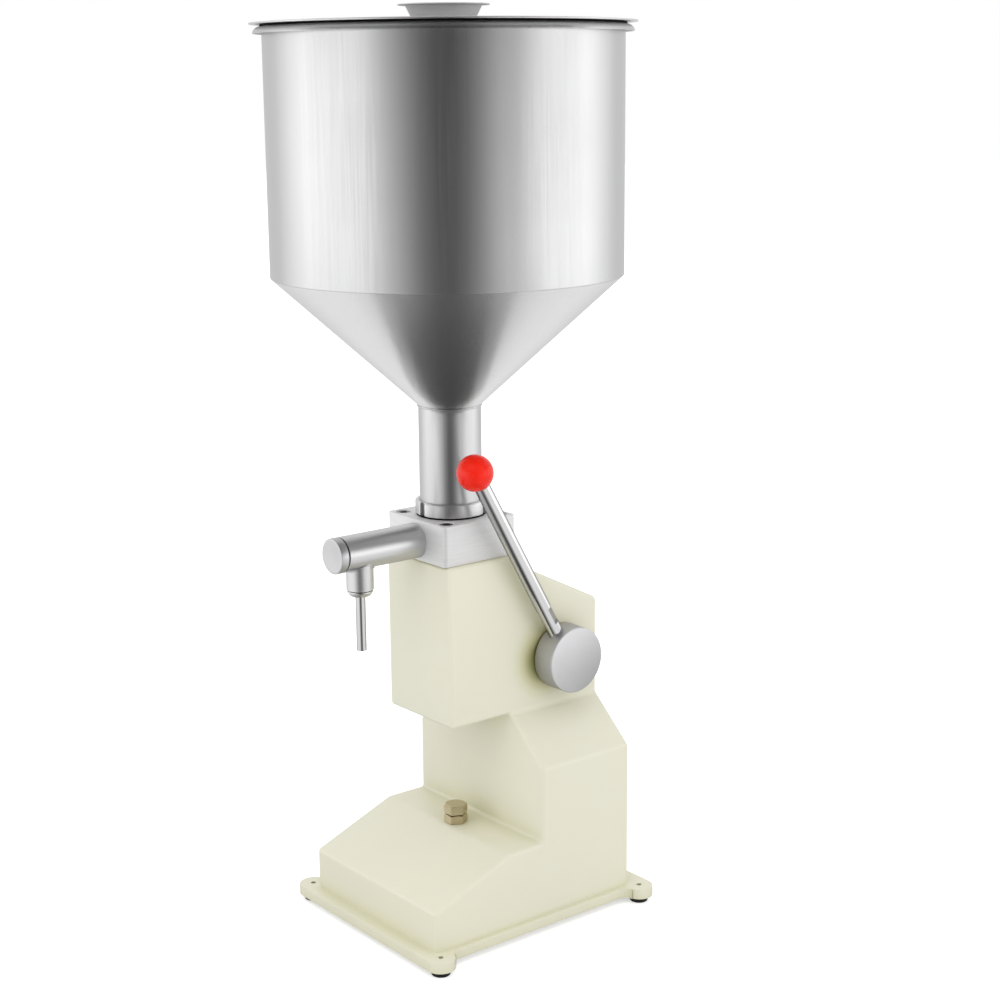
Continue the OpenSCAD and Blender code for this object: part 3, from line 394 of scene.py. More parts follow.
def paintMaterial(name, color, roughness):
    # Sprayed enamel over a casting: soft waves, orange peel and faint warm and cool patches, with painted shade in
    # its hollows and a painted shadow beside the lever hub
    material, tree, shader = newMaterial(name, 0, roughness, color)
    patches = noiseAt(tree, 9, (1, 1, 1), 3)
    specks = noiseAt(tree, 260, (1, 1, 1), 2)
    warm = mixedColor(tree, ranged(tree, patches, 0, 1), shaded(color, 0.975),
                      (color[0] * 1.01, color[1], color[2] * 0.975))
    # Painted shade: hollows and corners go darker and olive
    hollow = tree.nodes.new("ShaderNodeAmbientOcclusion")
    hollow.samples = 8
    hollow.inputs["Distance"].default_value = 0.03
    shadeTinted = multiplied(tree, warm, tintRamp(tree, hollow.outputs["AO"], hollowShade))
    # Painted shadow: a dark olive patch on the casting beside the lever hub
    place = coordinates(tree)
    flat = vectorNode(tree, "MULTIPLY", place, (0, 1, 1)).outputs[0]
    away = vectorNode(tree, "DISTANCE", flat, (0, hubShadow["y"] * mm, hubShadow["z"] * mm)).outputs["Value"]
    hubShadowTint = tintRamp(tree, ranged(tree, away, 0, 1, hubShadow["inner"] * mm, hubShadow["outer"] * mm), hubShadow["tints"])
    onSide = ranged(tree, splitVector(tree, place)[0], 0, 1, hubShadow["sideFrom"], hubShadow["sideTo"])
    tree.links.new(multiplied(tree, shadeTinted, hubShadowTint, onSide), shader.inputs["Base Color"])
    tree.links.new(ranged(tree, specks, roughness - 0.05, roughness + 0.05), shader.inputs["Roughness"])
    waves = bumped(tree, noiseAt(tree, 55, (1, 1, 1), 2), 0.25, 0.0004)
    peel = bumped(tree, noiseAt(tree, 1100, (1, 1, 1), 1), 0.18, 0.00012, waves)
    tree.links.new(peel, shader.inputs["Normal"])
    return material


def shadeAcross(material, at, along, low, high):
    # Painted light and shade: multiplies the finish's own colour by a factor that changes along one direction of the
    # object
    tree = material.node_tree
    shader = tree.nodes["Principled BSDF"]
    across = vectorNode(tree, "DOT_PRODUCT", coordinates(tree), along).outputs["Value"]
    scale = vectorNode(tree, "SCALE", shader.inputs["Base Color"].links[0].from_socket)
    tree.links.new(ranged(tree, across, low, high, *at), scale.inputs["Scale"])
    tree.links.new(scale.outputs[0], shader.inputs["Base Color"])


def mouldedMaterial(name, color, roughness, grainScale=600, bump=0.2):
    # Moulded rubber or plastic with a fine even grain
    material, tree, shader = newMaterial(name, 0, roughness, color)
    grain = noiseAt(tree, grainScale, (1, 1, 1), 3)
    patches = noiseAt(tree, 40, (1, 1, 1), 2)
    tree.links.new(mixedColor(tree, ranged(tree, patches, 0, 1), shaded(color, 0.93), shaded(color, 1.07)),
                   shader.inputs["Base Color"])
    tree.links.new(ranged(tree, grain, roughness - 0.04, roughness + 0.04), shader.inputs["Roughness"])
    tree.links.new(bumped(tree, grain, bump, 0.00006), shader.inputs["Normal"])
    return material


finishes = {
    "hopper": (0.555, 0.555, 0.56),     # rolled sheet of the hopper's wall and neck
    "cone": (0.75, 0.75, 0.755),        # cone, lid, knob and slotted ring
    "hub": (0.66, 0.66, 0.67),          # lever hub and end cap
    "steel": (0.64, 0.64, 0.645),       # machined steel
    "block": (0.78, 0.78, 0.782),       # valve block
    "polish": (0.66, 0.66, 0.66),       # lever rod and nozzle
    "cream": (0.765, 0.757, 0.625),     # enamel
    "nickel": (0.60, 0.52, 0.36),       # stop bolt and nut
    "dark": (0.34, 0.34, 0.345),        # black oxide screws
    "bronze": (0.62, 0.42, 0.20),
    "iron": (0.20, 0.20, 0.21),
    "red": (0.87, 0.014, 0.002),
    "rubber": (0.018, 0.018, 0.018),
}
sheetSteel = steelMaterial("hopperSheet", finishes["hopper"], 0.34, (1, 1, 0.012), stretch=0.7)
coneSteel = steelMaterial("coneSheet", finishes["cone"], 0.42, (1, 1, 0.03), stretch=0.92)
turnedSteel = steelMaterial("turnedSteel", finishes["steel"], 0.28, (0.05, 0.05, 1), spread=0.02, stretch=0.5,
                            bump=0.04)
tubeSteel = steelMaterial("tubeSteel", finishes["steel"], 0.36, (1, 0.03, 1), spread=0.02, bump=0.03)
blockSteel = steelMaterial("blockSteel", finishes["block"], 0.62, (0.04, 0.04, 1), spread=0.02, bump=0.03)
adjust(blockSteel, {"Metallic": 0.55})
hubSteel = steelMaterial("hubSteel", finishes["hub"], 0.42, (1, 0.05, 0.05), spread=0.02, bump=0.04)
# Painted shade on the lever hub: its face is a little lighter towards the upper front and darker towards the lower
# rear, and its rim is darker than its face
hubShade = {"along": Vector((0, 0.62, -0.78)), "middle": Vector((0, 0.0725, 0.204)), "reach": 0.026,
           "face": (1.02, 0.58), "rimAt": (0.0604, 0.0614), "rim": 0.74}
hubMiddle = hubShade["along"].dot(hubShade["middle"])
shadeAcross(hubSteel, (hubMiddle - hubShade["reach"], hubMiddle + hubShade["reach"]), hubShade["along"], *hubShade["face"])
shadeAcross(hubSteel, hubShade["rimAt"], (1, 0, 0), hubShade["rim"], 1.0)
capSteel = steelMaterial("capSteel", shaded(finishes["hub"], 0.86), 0.42, (0.05, 1, 0.05), spread=0.03, bump=0.05)
knobSteel = steelMaterial("knobSteel", finishes["cone"], 0.48, (0.05, 0.05, 1), spread=0.03, bump=0.05)
rodSteel = steelMaterial("rodSteel", finishes["polish"], 0.14, (1, 0.02, 0.02), spread=0.02, bump=0.02)
adjust(rodSteel, {"Specular Tint": (0.25, 0.25, 0.25, 1)})
nickelPlate = steelMaterial("nickelPlate", finishes["nickel"], 0.22, (1, 1, 1), spread=0.04)
darkSteel = steelMaterial("darkSteel", finishes["dark"], 0.38, (1, 1, 1))
springSteel = steelMaterial("springSteel", (0.5, 0.5, 0.5), 0.25, (1, 1, 1))
bearingBronze = steelMaterial("bearingBronze", finishes["bronze"], 0.3, (0.05, 1, 1))
castIron = steelMaterial("castIron", finishes["iron"], 0.5, (1, 1, 1), grainScale=0.4, bump=0.4)
creamEnamel = paintMaterial("creamEnamel", finishes["cream"], 0.42)
redPlastic = mouldedMaterial("redPlastic", finishes["red"], 0.25, 500, 0.03)
adjust(redPlastic, {"Specular IOR Level": 0.28})
footRubber = mouldedMaterial("footRubber", finishes["rubber"], 0.62)
# Near-black seal rubber, darker than the feet: the seals' own black, and painted shade in the gap under the lid's
# edge
sealAndGapShadeRubber = mouldedMaterial("sealAndGapShadeRubber", shaded(finishes["rubber"], 0.4), 0.9, 900)
adjust(sealAndGapShadeRubber, {"Specular IOR Level": 0.1})
adjust(hubSteel, {"Metallic": 0.65})
adjust(knobSteel, {"Metallic": 0.15})
print("materials made")

# Every CAD node that keeps its own mesh gets the finish of its slot
slotFinish = {
    "cream_paint": creamEnamel, "brushed_steel": turnedSteel, "polished_steel": rodSteel,
    "nickel_plate": nickelPlate, "dark_steel": darkSteel, "spring_steel": springSteel, "bronze": bearingBronze,
    "cast_iron": castIron, "red_plastic": redPlastic, "black_rubber": footRubber, "black_seal": sealAndGapShadeRubber,
}
slotOf = {part["node"]: part["material_slot"] for part in frame["record"]["subparts"]}
for nodeName, node in frame["nodes"].items():
    for materialSlot in node.material_slots:
        materialSlot.material = slotFinish[slotOf[nodeName]]
    node.data.set_sharp_from_angle(angle=math.radians(30))


# Casting

casting = {
    "halfWidth": 78.5, "front": -79.5, "nose": 44.5, "deck": 71.5, "deckFront": -9.6, "column": 24.6, "rear": 112.5,
    "underside": 5, "insideLow": 4, "insideNose": 41, "shoulder": 131, "headLow": 165.3, "headTop": 290.2,
    "headHalf": 39.7, "headFront": -32.6, "step": 36.7, "stepFoot": 40.37, "stepZ": 279.2, "rearTop": 242.5,
    "wall": 5, "headFloor": 6, "headRoof": 8, "stepIn": 3, "edge": 3, "fillet": 3.2,
    "outerX": (-120, 120), "outerY": (-150, 180), "innerX": (-100, 100), "innerY": (-140, 160),
}
# Holes through its walls: radius, start and stop along the axis, centre
castingBores = [
    (13.05, -60, 60, "X", (72.5, 204)),   # lever shaft and its bushes
    (12.05, 160, 180, "Z", (0, 0)),       # piston rod's bush
    (5.05, 60, 80, "Z", (0, 0)),          # stop bolt
    (23.05, 270, 300, "Z", (0, 0)),       # cylinder liner
]
plate = {
    "half": 82.5, "front": -91, "rear": 129, "low": 5, "top": 13, "earRadius": 11, "earBlend": 6.6, "edge": 1.8,
    "ears": [(-85, -80), (85, -80), (-85, 118), (85, 118)], "hole": 2.05,
}


def castingShell(c):
    floor = c["underside"]
    side = [(c["front"], floor), (c["front"], c["nose"]), (c["deckFront"], c["deck"]), (c["column"], c["deck"]),
            (c["column"], c["headLow"]), (c["headFront"], c["headLow"]), (c["headFront"], c["headTop"]),
            (c["step"], c["headTop"]), (c["stepFoot"], c["stepZ"]), (c["rear"], c["rearTop"]),
            (c["rear"], floor)]
    ahead = [(-c["halfWidth"], floor), (-c["halfWidth"], c["shoulder"]), (-c["headHalf"], c["headLow"]),
             (-c["headHalf"], c["headTop"]), (c["headHalf"], c["headTop"]), (c["headHalf"], c["headLow"]),
             (c["halfWidth"], c["shoulder"]), (c["halfWidth"], floor)]
    bm = joined(prismMesh(side, *c["outerX"], "X"), prismMesh(ahead, *c["outerY"], "Y"), "INTERSECT")
    flatJoined(bm)
    return roundEdges(bm, c["edge"], isCorner, 4)


def makeCasting(c, p):
    bm = castingShell(c)
    # Foot plate: outline walked anticlockwise from the front right ear
    outline = []
    corners = [(p["ears"][1], 1, -1), (p["ears"][3], 1, 1), (p["ears"][2], -1, 1), (p["ears"][0], -1, -1)]
    ear, blend, half = p["earRadius"], p["earBlend"], p["half"]
    for (x, y), sx, sy in corners:
        arcPoints = [(sx * (half + blend - blend * math.cos(math.pi / 2 * k / 5)),
                      y - sy * (ear + blend - blend * math.sin(math.pi / 2 * k / 5))) for k in range(6)]
        angles = [-math.pi / 2 + math.pi * k / 18 for k in range(1, 19)]
        arcPoints += [(x + sx * ear * math.cos(a), y + sy * ear * math.sin(a)) for a in angles]
        outline += arcPoints if sx * sy > 0 else arcPoints[::-1]
    foot = prismMesh(outline, p["low"], p["top"])
    bmesh.ops.remove_doubles(foot, verts=foot.verts, dist=1e-6)
    topZ = p["top"] * mm
    roundEdges(foot, p["edge"], lambda e: all(abs(v.co.z - topZ) < 1e-6 for v in e.verts) and isCorner(e), 3)
    bm = joined(bm, foot, "UNION")
    flatJoined(bm)

    def atPlate(edge):
        # The line where the body meets the plate, half a millimetre out
        near = 0.5
        inside = all(abs(v.co.z - topZ) < 1e-5 and abs(v.co.x) < (c["halfWidth"] + near) * mm
                     and (c["front"] - near) * mm < v.co.y < (c["rear"] + near) * mm for v in edge.verts)
        return inside and isCorner(edge)
    roundEdges(bm, c["fillet"], atPlate, 4)
    wall, low = c["wall"], c["insideLow"]
    floorTop, roof = c["headLow"] + c["headFloor"], c["headTop"] - c["headRoof"]
    side = [(c["front"] + wall, low), (c["front"] + wall, c["insideNose"]), (c["deckFront"], c["deck"] - wall),
            (c["column"] + wall, c["deck"] - wall), (c["column"] + wall, floorTop), (c["headFront"] + wall, floorTop),
            (c["headFront"] + wall, roof), (c["step"] - wall - c["stepIn"], roof),
            (c["step"] - wall - c["stepIn"], c["stepZ"] - wall), (c["rear"] - wall, c["rearTop"] - wall),
            (c["rear"] - wall, low)]
    inner, headIn = c["halfWidth"] - wall, c["headHalf"] - wall
    shoulder, neck = c["shoulder"] - 3, c["headLow"] - 4
    ahead = [(-inner, low), (-inner, shoulder), (-headIn, neck), (-headIn, c["headTop"]), (headIn, c["headTop"]),
             (headIn, neck), (inner, shoulder), (inner, low)]
    hollow = joined(prismMesh(side, *c["innerX"], "X"), prismMesh(ahead, *c["innerY"], "Y"), "INTERSECT")
    bm = cut(bm, hollow)
    for x, y in p["ears"]:
        bm = cut(bm, rodMesh(p["hole"], 2, 20, "Z", (x, y), 24))
    for radius, start, stop, axis, at in castingBores:
        bm = cut(bm, rodMesh(radius, start, stop, axis, at))
    return finishPiece("castBody", bm, creamEnamel, "stand", ["body_casting"], 28)


makeCasting(casting, plate)
print("casting made")


# Rubber feet

feet = {"radius": 8, "lowRadius": 7, "height": 5, "groove": 0.35}


def makeFeet(f):
    names = ["foot_front_left", "foot_front_right", "foot_rear_left", "foot_rear_right"]
    for name, (x, y) in zip(names, plate["ears"]):
        profile = roundedPath([
            (2.1, 3.0), (4.1, 3.0), (4.1, 0.0), (f["lowRadius"], 0, 0.8), (f["lowRadius"] + 0.3, 1.4),
            (f["lowRadius"] + 0.3 - f["groove"], 1.9), (f["lowRadius"] + 0.5, 2.4),
            (f["radius"], f["height"], 0.5), (2.1, f["height"])], 3)
        bm = latheMesh(profile, 64, moved(x, y))
        finishPiece(name.replace("foot", "rubberFoot"), bm, footRubber, "stand", [name])


makeFeet(feet)


# Valve block with its four socket screws

block = {"halfX": 36.2, "halfY": 33.7, "low": 290.2, "top": 321.3, "corner": 2.2, "edge": 0.6, "screwX": 27,
         "screwY": 25, "well": 5.48, "wellDeep": 6.5, "wellRim": 0.5, "bore": 15, "seat": 21.05, "seatLow": 313.2,
         "tubeBore": 12.05, "tubeFrom": -40, "tubeTo": -24, "tubeHeight": 305.2}
screwPlaces = [(sx * block["screwX"], sy * block["screwY"]) for sx in (-1, 1) for sy in (-1, 1)]
capScrew = {"head": 4.98, "low": 314.8, "top": 320.8, "socket": 2.9, "socketDeep": 3.2, "edge": 0.5, "shank": 3,
            "shankLong": 30.5}


def makeBlock(b):
    x, y, c = b["halfX"], b["halfY"], b["corner"]
    outline = [(x - c, -y), (x, -y + c), (x, y - c), (x - c, y), (-x + c, y), (-x, y - c), (-x, -y + c), (-x + c, -y)]
    bm = prismMesh(outline, b["low"], b["top"])
    roundEdges(bm, b["edge"], isCorner, 2)
    well = roundedPath([(0, b["top"] - b["wellDeep"]), (b["well"], b["top"] - b["wellDeep"]),
                        (b["well"], b["top"] - b["wellRim"]), (b["well"] + b["wellRim"] + 0.5, b["top"] + 0.5),
                        (0, b["top"] + 0.5)])
    for at in screwPlaces:
        bm = cut(bm, latheMesh(well, 48, moved(*at)))
    bm = cut(bm, rodMesh(b["bore"], b["low"] - 1, b["seatLow"]))
    bm = cut(bm, rodMesh(b["seat"], b["seatLow"], b["top"] + 1))
    bm = cut(bm, rodMesh(b["tubeBore"], b["tubeFrom"], b["tubeTo"], "Y", (0, b["tubeHeight"])))
    return steelPiece("steelValveBlock", bm, blockSteel, "valve_block", 25)


def makeBlockScrews(s):
    bm = bmesh.new()
    flats = s["socket"] / math.cos(math.pi / 6)
    shankLow = s["low"] - s["shankLong"]
    for x, y in screwPlaces:
        head = latheMesh(roundedPath([(0, s["low"]), (s["head"], s["low"], 0.2), (s["head"], s["top"], s["edge"]),
                                      (0, s["top"])], 3), 48, moved(x, y))
        key = [(flats * math.cos(math.pi / 3 * k) + x, flats * math.sin(math.pi / 3 * k) + y) for k in range(6)]
        addTo(bm, cut(head, prismMesh(key, s["top"] - s["socketDeep"], s["top"] + 1)))
        addTo(bm, latheMesh([(0, shankLow), (s["shank"], shankLow), (s["shank"], s["low"]), (0, s["low"])], 32,
                            moved(x, y)))
    return finishPiece("socketScrews", bm, darkSteel, "stand", ["block_screws"])


makeBlock(block)
makeBlockScrews(capScrew)
print("valve block made")


# Hopper: neck, cone, straight wall and rolled rim

def ovalPoints(centre, wide, high, degrees):
    return [(centre[0] + wide * math.cos(math.radians(a)), centre[1] + high * math.sin(math.radians(a)))
            for a in degrees]


hopper = {
    "radius": 130, "sheet": 1.2, "wallLow": 501.9, "rim": 679.6, "lip": 6.5, "lipHigh": 5.1, "neck": 23.6,
    "neckLow": 322.5, "coneLow": 404.8, "coneRise": 97.1, "coneRun": 106.4, "ferrule": 21.0, "ferruleLow": 316.3,
    "ferruleBore": 18, "bead": 0.9, "fold": 1.2,
}


def makeHopper(h):
    r, t, lip, high = h["radius"], h["sheet"], h["lip"], h["lipHigh"]
    lipMiddle = (r, h["rim"] - high)
    quarter = ovalPoints(lipMiddle, lip, high, range(0, 91, 9))
    under = ovalPoints(lipMiddle, lip - t, high - t, range(80, -1, -10))
    # Short piece of the cone and of the wall, with the fold between them
    fold = roundedPath([(r * 0.93, h["wallLow"] - r * 0.07 * h["coneRise"] / h["coneRun"]),
                        (r, h["wallLow"], h["fold"]), (r, h["wallLow"] + 30)], 6, False)
    shell = [(r, h["wallLow"] + 12), (r, h["rim"] - lip - 6), (r, h["rim"] - t)] + under + quarter
    shell += [(r - t, h["rim"] - t / 2), (r - t, h["wallLow"] + 12)]
    wallShape = fold[1:-1] + shell[1:-1] + [(r - t, h["wallLow"] + 1.6)]
    steelPiece("hopperWall", latheMesh(wallShape, 256), sheetSteel, "hopper_shell", 30)
    rise = h["coneRise"] / h["coneRun"]
    lift = t * math.hypot(1, rise)
    start = fold[1]
    cone = [(h["neck"] + 0.2, h["coneLow"] + 0.2)]
    for share in (0.2, 0.4, 0.6, 0.8):
        cone.append((cone[0][0] + (start[0] - cone[0][0]) * share, cone[0][1] + (start[1] - cone[0][1]) * share))
    cone += [start, (r - t, h["wallLow"] + 1.6), (h["neck"] - 1.5, h["coneLow"] + lift - 1.5 * rise)]
    steelPiece("hopperCone", latheMesh(cone, 256), coneSteel, "hopper_cone", 30)
    bead = ovalPoints((h["neck"], h["coneLow"] - 0.2), h["bead"], h["bead"], range(-80, 81, 20))
    neck = [(h["ferruleBore"], h["ferruleLow"]), (h["ferrule"], h["ferruleLow"]), (h["ferrule"], h["neckLow"]),
            (h["neck"], h["neckLow"]), (h["neck"], h["coneLow"] - 1.2)] + bead
    neck += [(h["neck"] - 1.5, h["coneLow"] + lift - 1.5 * rise), (h["neck"] - 1.5, h["neckLow"] + 3.5),
             (h["ferruleBore"], h["neckLow"] + 1.7)]
    steelPiece("hopperNeck", latheMesh(neck, 160), sheetSteel, "hopper_neck", 30)


ring = {"radius": 27.1, "bore": 23.65, "low": 322.5, "top": 332.5, "edge": 1.0, "slots": 3, "slotWide": 5.5,
        "slotDeep": 2.2, "slotTurn": -90}


def makeLockRing(k):
    bm = latheMesh(roundedPath([(k["bore"], k["low"]), (k["radius"], k["low"], k["edge"]),
                                (k["radius"], k["top"], k["edge"]), (k["bore"], k["top"], 0.4)], 3), 160)
    for i in range(k["slots"]):
        turn = turned(k["slotTurn"] + 360 * i / k["slots"], "Z")
        half = k["slotWide"] / 2
        slot = prismMesh([(k["radius"] - k["slotDeep"], -half), (k["radius"] + 2, -half), (k["radius"] + 2, half),
                          (k["radius"] - k["slotDeep"], half)], k["low"] - 1, k["top"] + 1)
        slot.transform(turn)
        bm = cut(bm, slot)
    return steelPiece("slottedRing", bm, coneSteel, "lock_ring", 25)


makeHopper(hopper)
makeLockRing(ring)
print("hopper made")


# Lid with its locating ring, seal and knob

lid = {"radius": 139, "edgeLow": 680.9, "top": 682.3, "sheet": 1, "stepRadius": 133.4, "hole": 2.6, "skirt": 127.8,
       "skirtLow": 672}
seal = {"inner": 127.85, "outer": 131.2, "top": 680.85, "clear": 0.06}
knob = {"foot": 22.1, "neck": 27.7, "brim": 33, "low": 682.3, "top": 694.6, "sheet": 1}


def makeLid(d, k):
    t = d["sheet"]
    plateShape = roundedPath([
        (d["hole"], d["top"] - t), (d["stepRadius"] - 1.1, d["top"] - t, 0.8), (d["stepRadius"], d["edgeLow"], 0.5),
        (d["radius"], d["edgeLow"], 0.45), (d["radius"], d["edgeLow"] + t, 0.45),
        (d["stepRadius"] + 1.1, d["edgeLow"] + t, 0.8), (d["stepRadius"], d["top"], 0.9), (d["hole"], d["top"])], 3)
    finishPiece("lidSheet", latheMesh(plateShape, 256), coneSteel, "lid", ["lid"], 30)
    skirt = [(d["skirt"] - t, d["skirtLow"]), (d["skirt"], d["skirtLow"]), (d["skirt"], d["top"] - t),
             (d["skirt"] - t, d["top"] - t)]
    finishPiece("lidSkirt", latheMesh(skirt, 192), coneSteel, "lid", ["lid_skirt"])
    bowl = roundedPath([
        (d["hole"], k["low"]), (k["foot"], k["low"], 1.6),
        (k["neck"], k["top"] - t, 1.2), (k["brim"], k["top"] - t, 0.4),
        (k["brim"], k["top"], 0.4), (k["neck"] - t, k["top"], 1.6), (k["foot"] - t, k["low"] + t, 1.2),
        (d["hole"], k["low"] + t)], 4)
    finishPiece("pressedKnob", latheMesh(bowl, 160), knobSteel, "lid", ["lid_knob"], 40)


def makeSeal(s, h):
    # Flat black ring that rests on the rolled lip under the lid's edge; its near-black also stands in for the shadow
    # in the gap under the lid's edge, a painted shade
    def lipTop(r):
        return h["rim"] - h["lipHigh"] + h["lipHigh"] * math.sqrt(max(0, 1 - ((r - h["radius"]) / h["lip"]) ** 2))
    under = [(r, (lipTop(r) if r > h["radius"] else h["rim"]) + s["clear"])
             for r in (s["inner"], 130, 130.6, s["outer"])]
    finishPiece("lidSeal", latheMesh(under + [(s["outer"], s["top"]), (s["inner"], s["top"])], 256), sealAndGapShadeRubber,
                "lid", ["lid_seal"], 40)


makeLid(lid, knob)
makeSeal(seal, hopper)
print("lid made")


# Outlet tube with its branch, end cap, nozzle holder and nozzle

tube = {"radius": 13.3, "bore": 10, "height": 305.2, "root": 33.7, "mouth": 101.5, "spigot": 12, "spigotIn": 24,
        "seatBore": 5.6}
branch = {"radius": 10.2, "at": -85, "low": 276.5, "bore": 7.09, "bead": 0.9}
cap = {"radius": 13.3, "start": 102.5, "front": 109, "edge": 0.8, "dimple": 0.5}
holder = {"radius": 9.6, "low": 272, "top": 276, "chamfer": 2, "thread": 7.04, "threadTop": 286.7, "bore": 3.3}
nozzle = {"radius": 3.65, "bore": 2.65, "low": 229.6, "neck": 271.6, "root": 3.25, "top": 282.7}


def alongTube(profile, steps=128):
    # Revolves about the outlet tube's axis; heights run towards the nozzle end
    return latheMesh(profile, steps, moved(0, 0, tube["height"]) @ turned(90, "X"))


def makeTube(t, b):
    shape = [(t["seatBore"], t["spigotIn"]), (t["spigot"], t["spigotIn"]), (t["spigot"], t["root"]),
             (t["radius"], t["root"]), (t["radius"], 50), (t["radius"], 70), (t["radius"], 95),
             (t["radius"], t["mouth"] - 0.3), (t["radius"] - 0.3, t["mouth"]), (t["bore"], t["mouth"]),
             (t["bore"], t["spigotIn"] + 4), (t["seatBore"], t["spigotIn"] + 4)]
    bm = alongTube(shape)
    place = moved(0, b["at"])
    stub = latheMesh([(0, b["low"]), (b["radius"] - 0.3, b["low"]), (b["radius"], b["low"] + 0.3),
                      (b["radius"], t["height"] - 2), (0, t["height"] - 2)], 96, place)
    bm = joined(bm, stub, "UNION")
    inside = latheMesh([(0, b["low"] - 1), (b["bore"], b["low"] - 1), (b["bore"], t["height"]), (0, t["height"])],
                       64, place)
    bm = cut(bm, inside)
    path = []
    for i in range(96):
        a = 2 * math.pi * i / 96
        x = b["radius"] * math.cos(a)
        y = b["at"] + b["radius"] * math.sin(a)
        z = t["height"] - math.sqrt(t["radius"] ** 2 - x ** 2)
        path.append(Vector((x * mm, y * mm, z * mm)))
    weld = sweptMesh(path, lambda s: b["bead"] * mm * (1 + 0.12 * math.sin(2 * math.pi * s * 30)), 10)
    bm = addTo(bm, weld)
    return steelPiece("outletPipe", bm, tubeSteel, "outlet_tube", 30)


def makeCap(c):
    shape = roundedPath([(0, 96), (9.95, 96), (9.95, c["start"]), (c["radius"], c["start"], 0.4),
                         (c["radius"], c["front"], c["edge"]), (c["radius"] - 2.2, c["front"] - 0.15),
                         (3, c["front"] - c["dimple"]), (0, c["front"] - c["dimple"])], 3)
    return steelPiece("tubeCap", alongTube(shape), capSteel, "end_cap", 30)


def makeNozzle(h, n):
    place = moved(0, branch["at"])
    shape = roundedPath([(h["bore"], h["low"]), (h["radius"] - h["chamfer"], h["low"], 0.4),
                         (h["radius"], h["low"] + 3, 0.4), (h["radius"], h["top"], 0.3), (h["thread"], h["top"]),
                         (h["thread"], h["threadTop"]), (n["radius"] + 2, h["threadTop"]),
                         (h["bore"], h["threadTop"] - 2)], 3)
    steelPiece("nozzleCollar", latheMesh(shape, 96, place), turnedSteel, "nozzle_holder")
    pipe = roundedPath([(n["bore"], n["low"], 0.15), (n["radius"], n["low"], 0.4), (n["radius"], n["neck"]),
                        (n["root"], n["neck"]), (n["root"], n["top"]), (n["bore"], n["top"])], 3)
    steelPiece("dropNozzle", latheMesh(pipe, 64, place), rodSteel, "nozzle_tube")


makeTube(tube, branch)
makeCap(cap)
makeNozzle(holder, nozzle)
print("outlet made")


# Valve springs, which shorten as their balls move in the real valve, built here at one length

springs = {
    "inlet": {"node": "inlet_spring", "radius": 4, "wire": 0.48, "length": 6.8, "turns": 3.5,
              "fixed": (0, 0, 293.22), "towards": (0, 0, 1), "joint": "inlet_ball_lift", "travel": 3.5},
    "outlet": {"node": "outlet_spring", "radius": 6.5, "wire": 0.48, "length": 56.3, "turns": 9,
               "fixed": (0, -95.95, 305.2), "towards": (0, 1, 0), "joint": "outlet_ball_lift", "travel": 5},
}


def makeSpring(name, s):
    along = Vector(s["towards"])
    side = Vector((1, 0, 0))
    other = along.cross(side)
    count = round(s["turns"] * 32)
    flat = 1 / s["turns"] * 0.75   # share of the wire in the end turns, which close up and lie flat
    path = []
    for i in range(count + 1):
        share = i / count
        climb = min(1, max(0, (share - flat * 0.5) / (1 - flat)))
        a = 2 * math.pi * s["turns"] * share
        path.append((Vector(s["fixed"]) + along * (s["wire"] + (s["length"] - 2 * s["wire"]) * climb)
                     + (side * math.cos(a) + other * math.sin(a)) * s["radius"]) * mm)
    piece = finishPiece(name, sweptMesh(path, s["wire"] * mm, 10, False), springSteel, "stand",
                        [s["node"]], 60)
    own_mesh(piece)


makeSpring("inletSpring", springs["inlet"])
makeSpring("outletSpring", springs["outlet"])
print("springs made")


# Lever: hub, rod with its flats and ball knob

lever = {"shaftY": 72.5, "shaftZ": 204, "tilt": 29.4, "middle": 51.7}
hub = {"radius": 25.8, "inside": 41.7, "outside": 61.7, "edge": 0.9, "bore": 10.05, "shaftEnd": 55.7}
rod = {"radius": 6, "foot": 13, "top": 169.7, "flatStart": 36, "flatEnd": 51, "flatHalf": 4.5, "flatTurn": 40,
       "tip": 5, "tipTop": 183.4}
ball = {"radius": 13.7, "centre": 182, "tip": 5.05}


def alongLever():
    return moved(lever["middle"], lever["shaftY"], lever["shaftZ"]) @ turned(lever["tilt"], "X")


def onShaft():
    # Turns Z into X and moves to the shaft
    return moved(0, lever["shaftY"], lever["shaftZ"]) @ turned(90, "Y")


def makeHub(h):
    shape = roundedPath([(0, h["shaftEnd"] + 0.3), (h["bore"], h["shaftEnd"] + 0.3), (h["bore"], h["inside"]),
                         (h["radius"], h["inside"], h["edge"]), (h["radius"], h["outside"], h["edge"]),
                         (0, h["outside"])], 4)
    bm = latheMesh(shape, 160, onShaft())
    socket = rodMesh(rod["radius"] + 0.05, 12.7, 40, "Z")
    socket.transform(alongLever())
    bm = cut(bm, socket)
    grub = rodMesh(3.05, -40, -9, "Z")
    grub.transform(alongLever())
    bm = cut(bm, grub)
    return finishPiece("leverHub", bm, hubSteel, "lever", ["lever_hub"], 30)


def makeRod(r):
    shape = [(0, r["foot"]), (r["radius"], r["foot"]), (r["radius"], r["top"] - 0.3), (r["radius"] - 0.3, r["top"]),
             (r["tip"], r["top"]), (r["tip"], r["tipTop"]), (0, r["tipTop"])]
    bm = latheMesh(shape, 96)
    for turn in (r["flatTurn"], r["flatTurn"] + 180):
        chip = prismMesh([(r["flatHalf"], -8), (r["radius"] + 3, -8), (r["radius"] + 3, 8), (r["flatHalf"], 8)],
                         r["flatStart"], r["flatEnd"])
        chip.transform(turned(turn, "Z"))
        bm = cut(bm, chip)
    bm.transform(alongLever())
    return finishPiece("leverRod", bm, rodSteel, "lever", ["lever_rod"], 25)


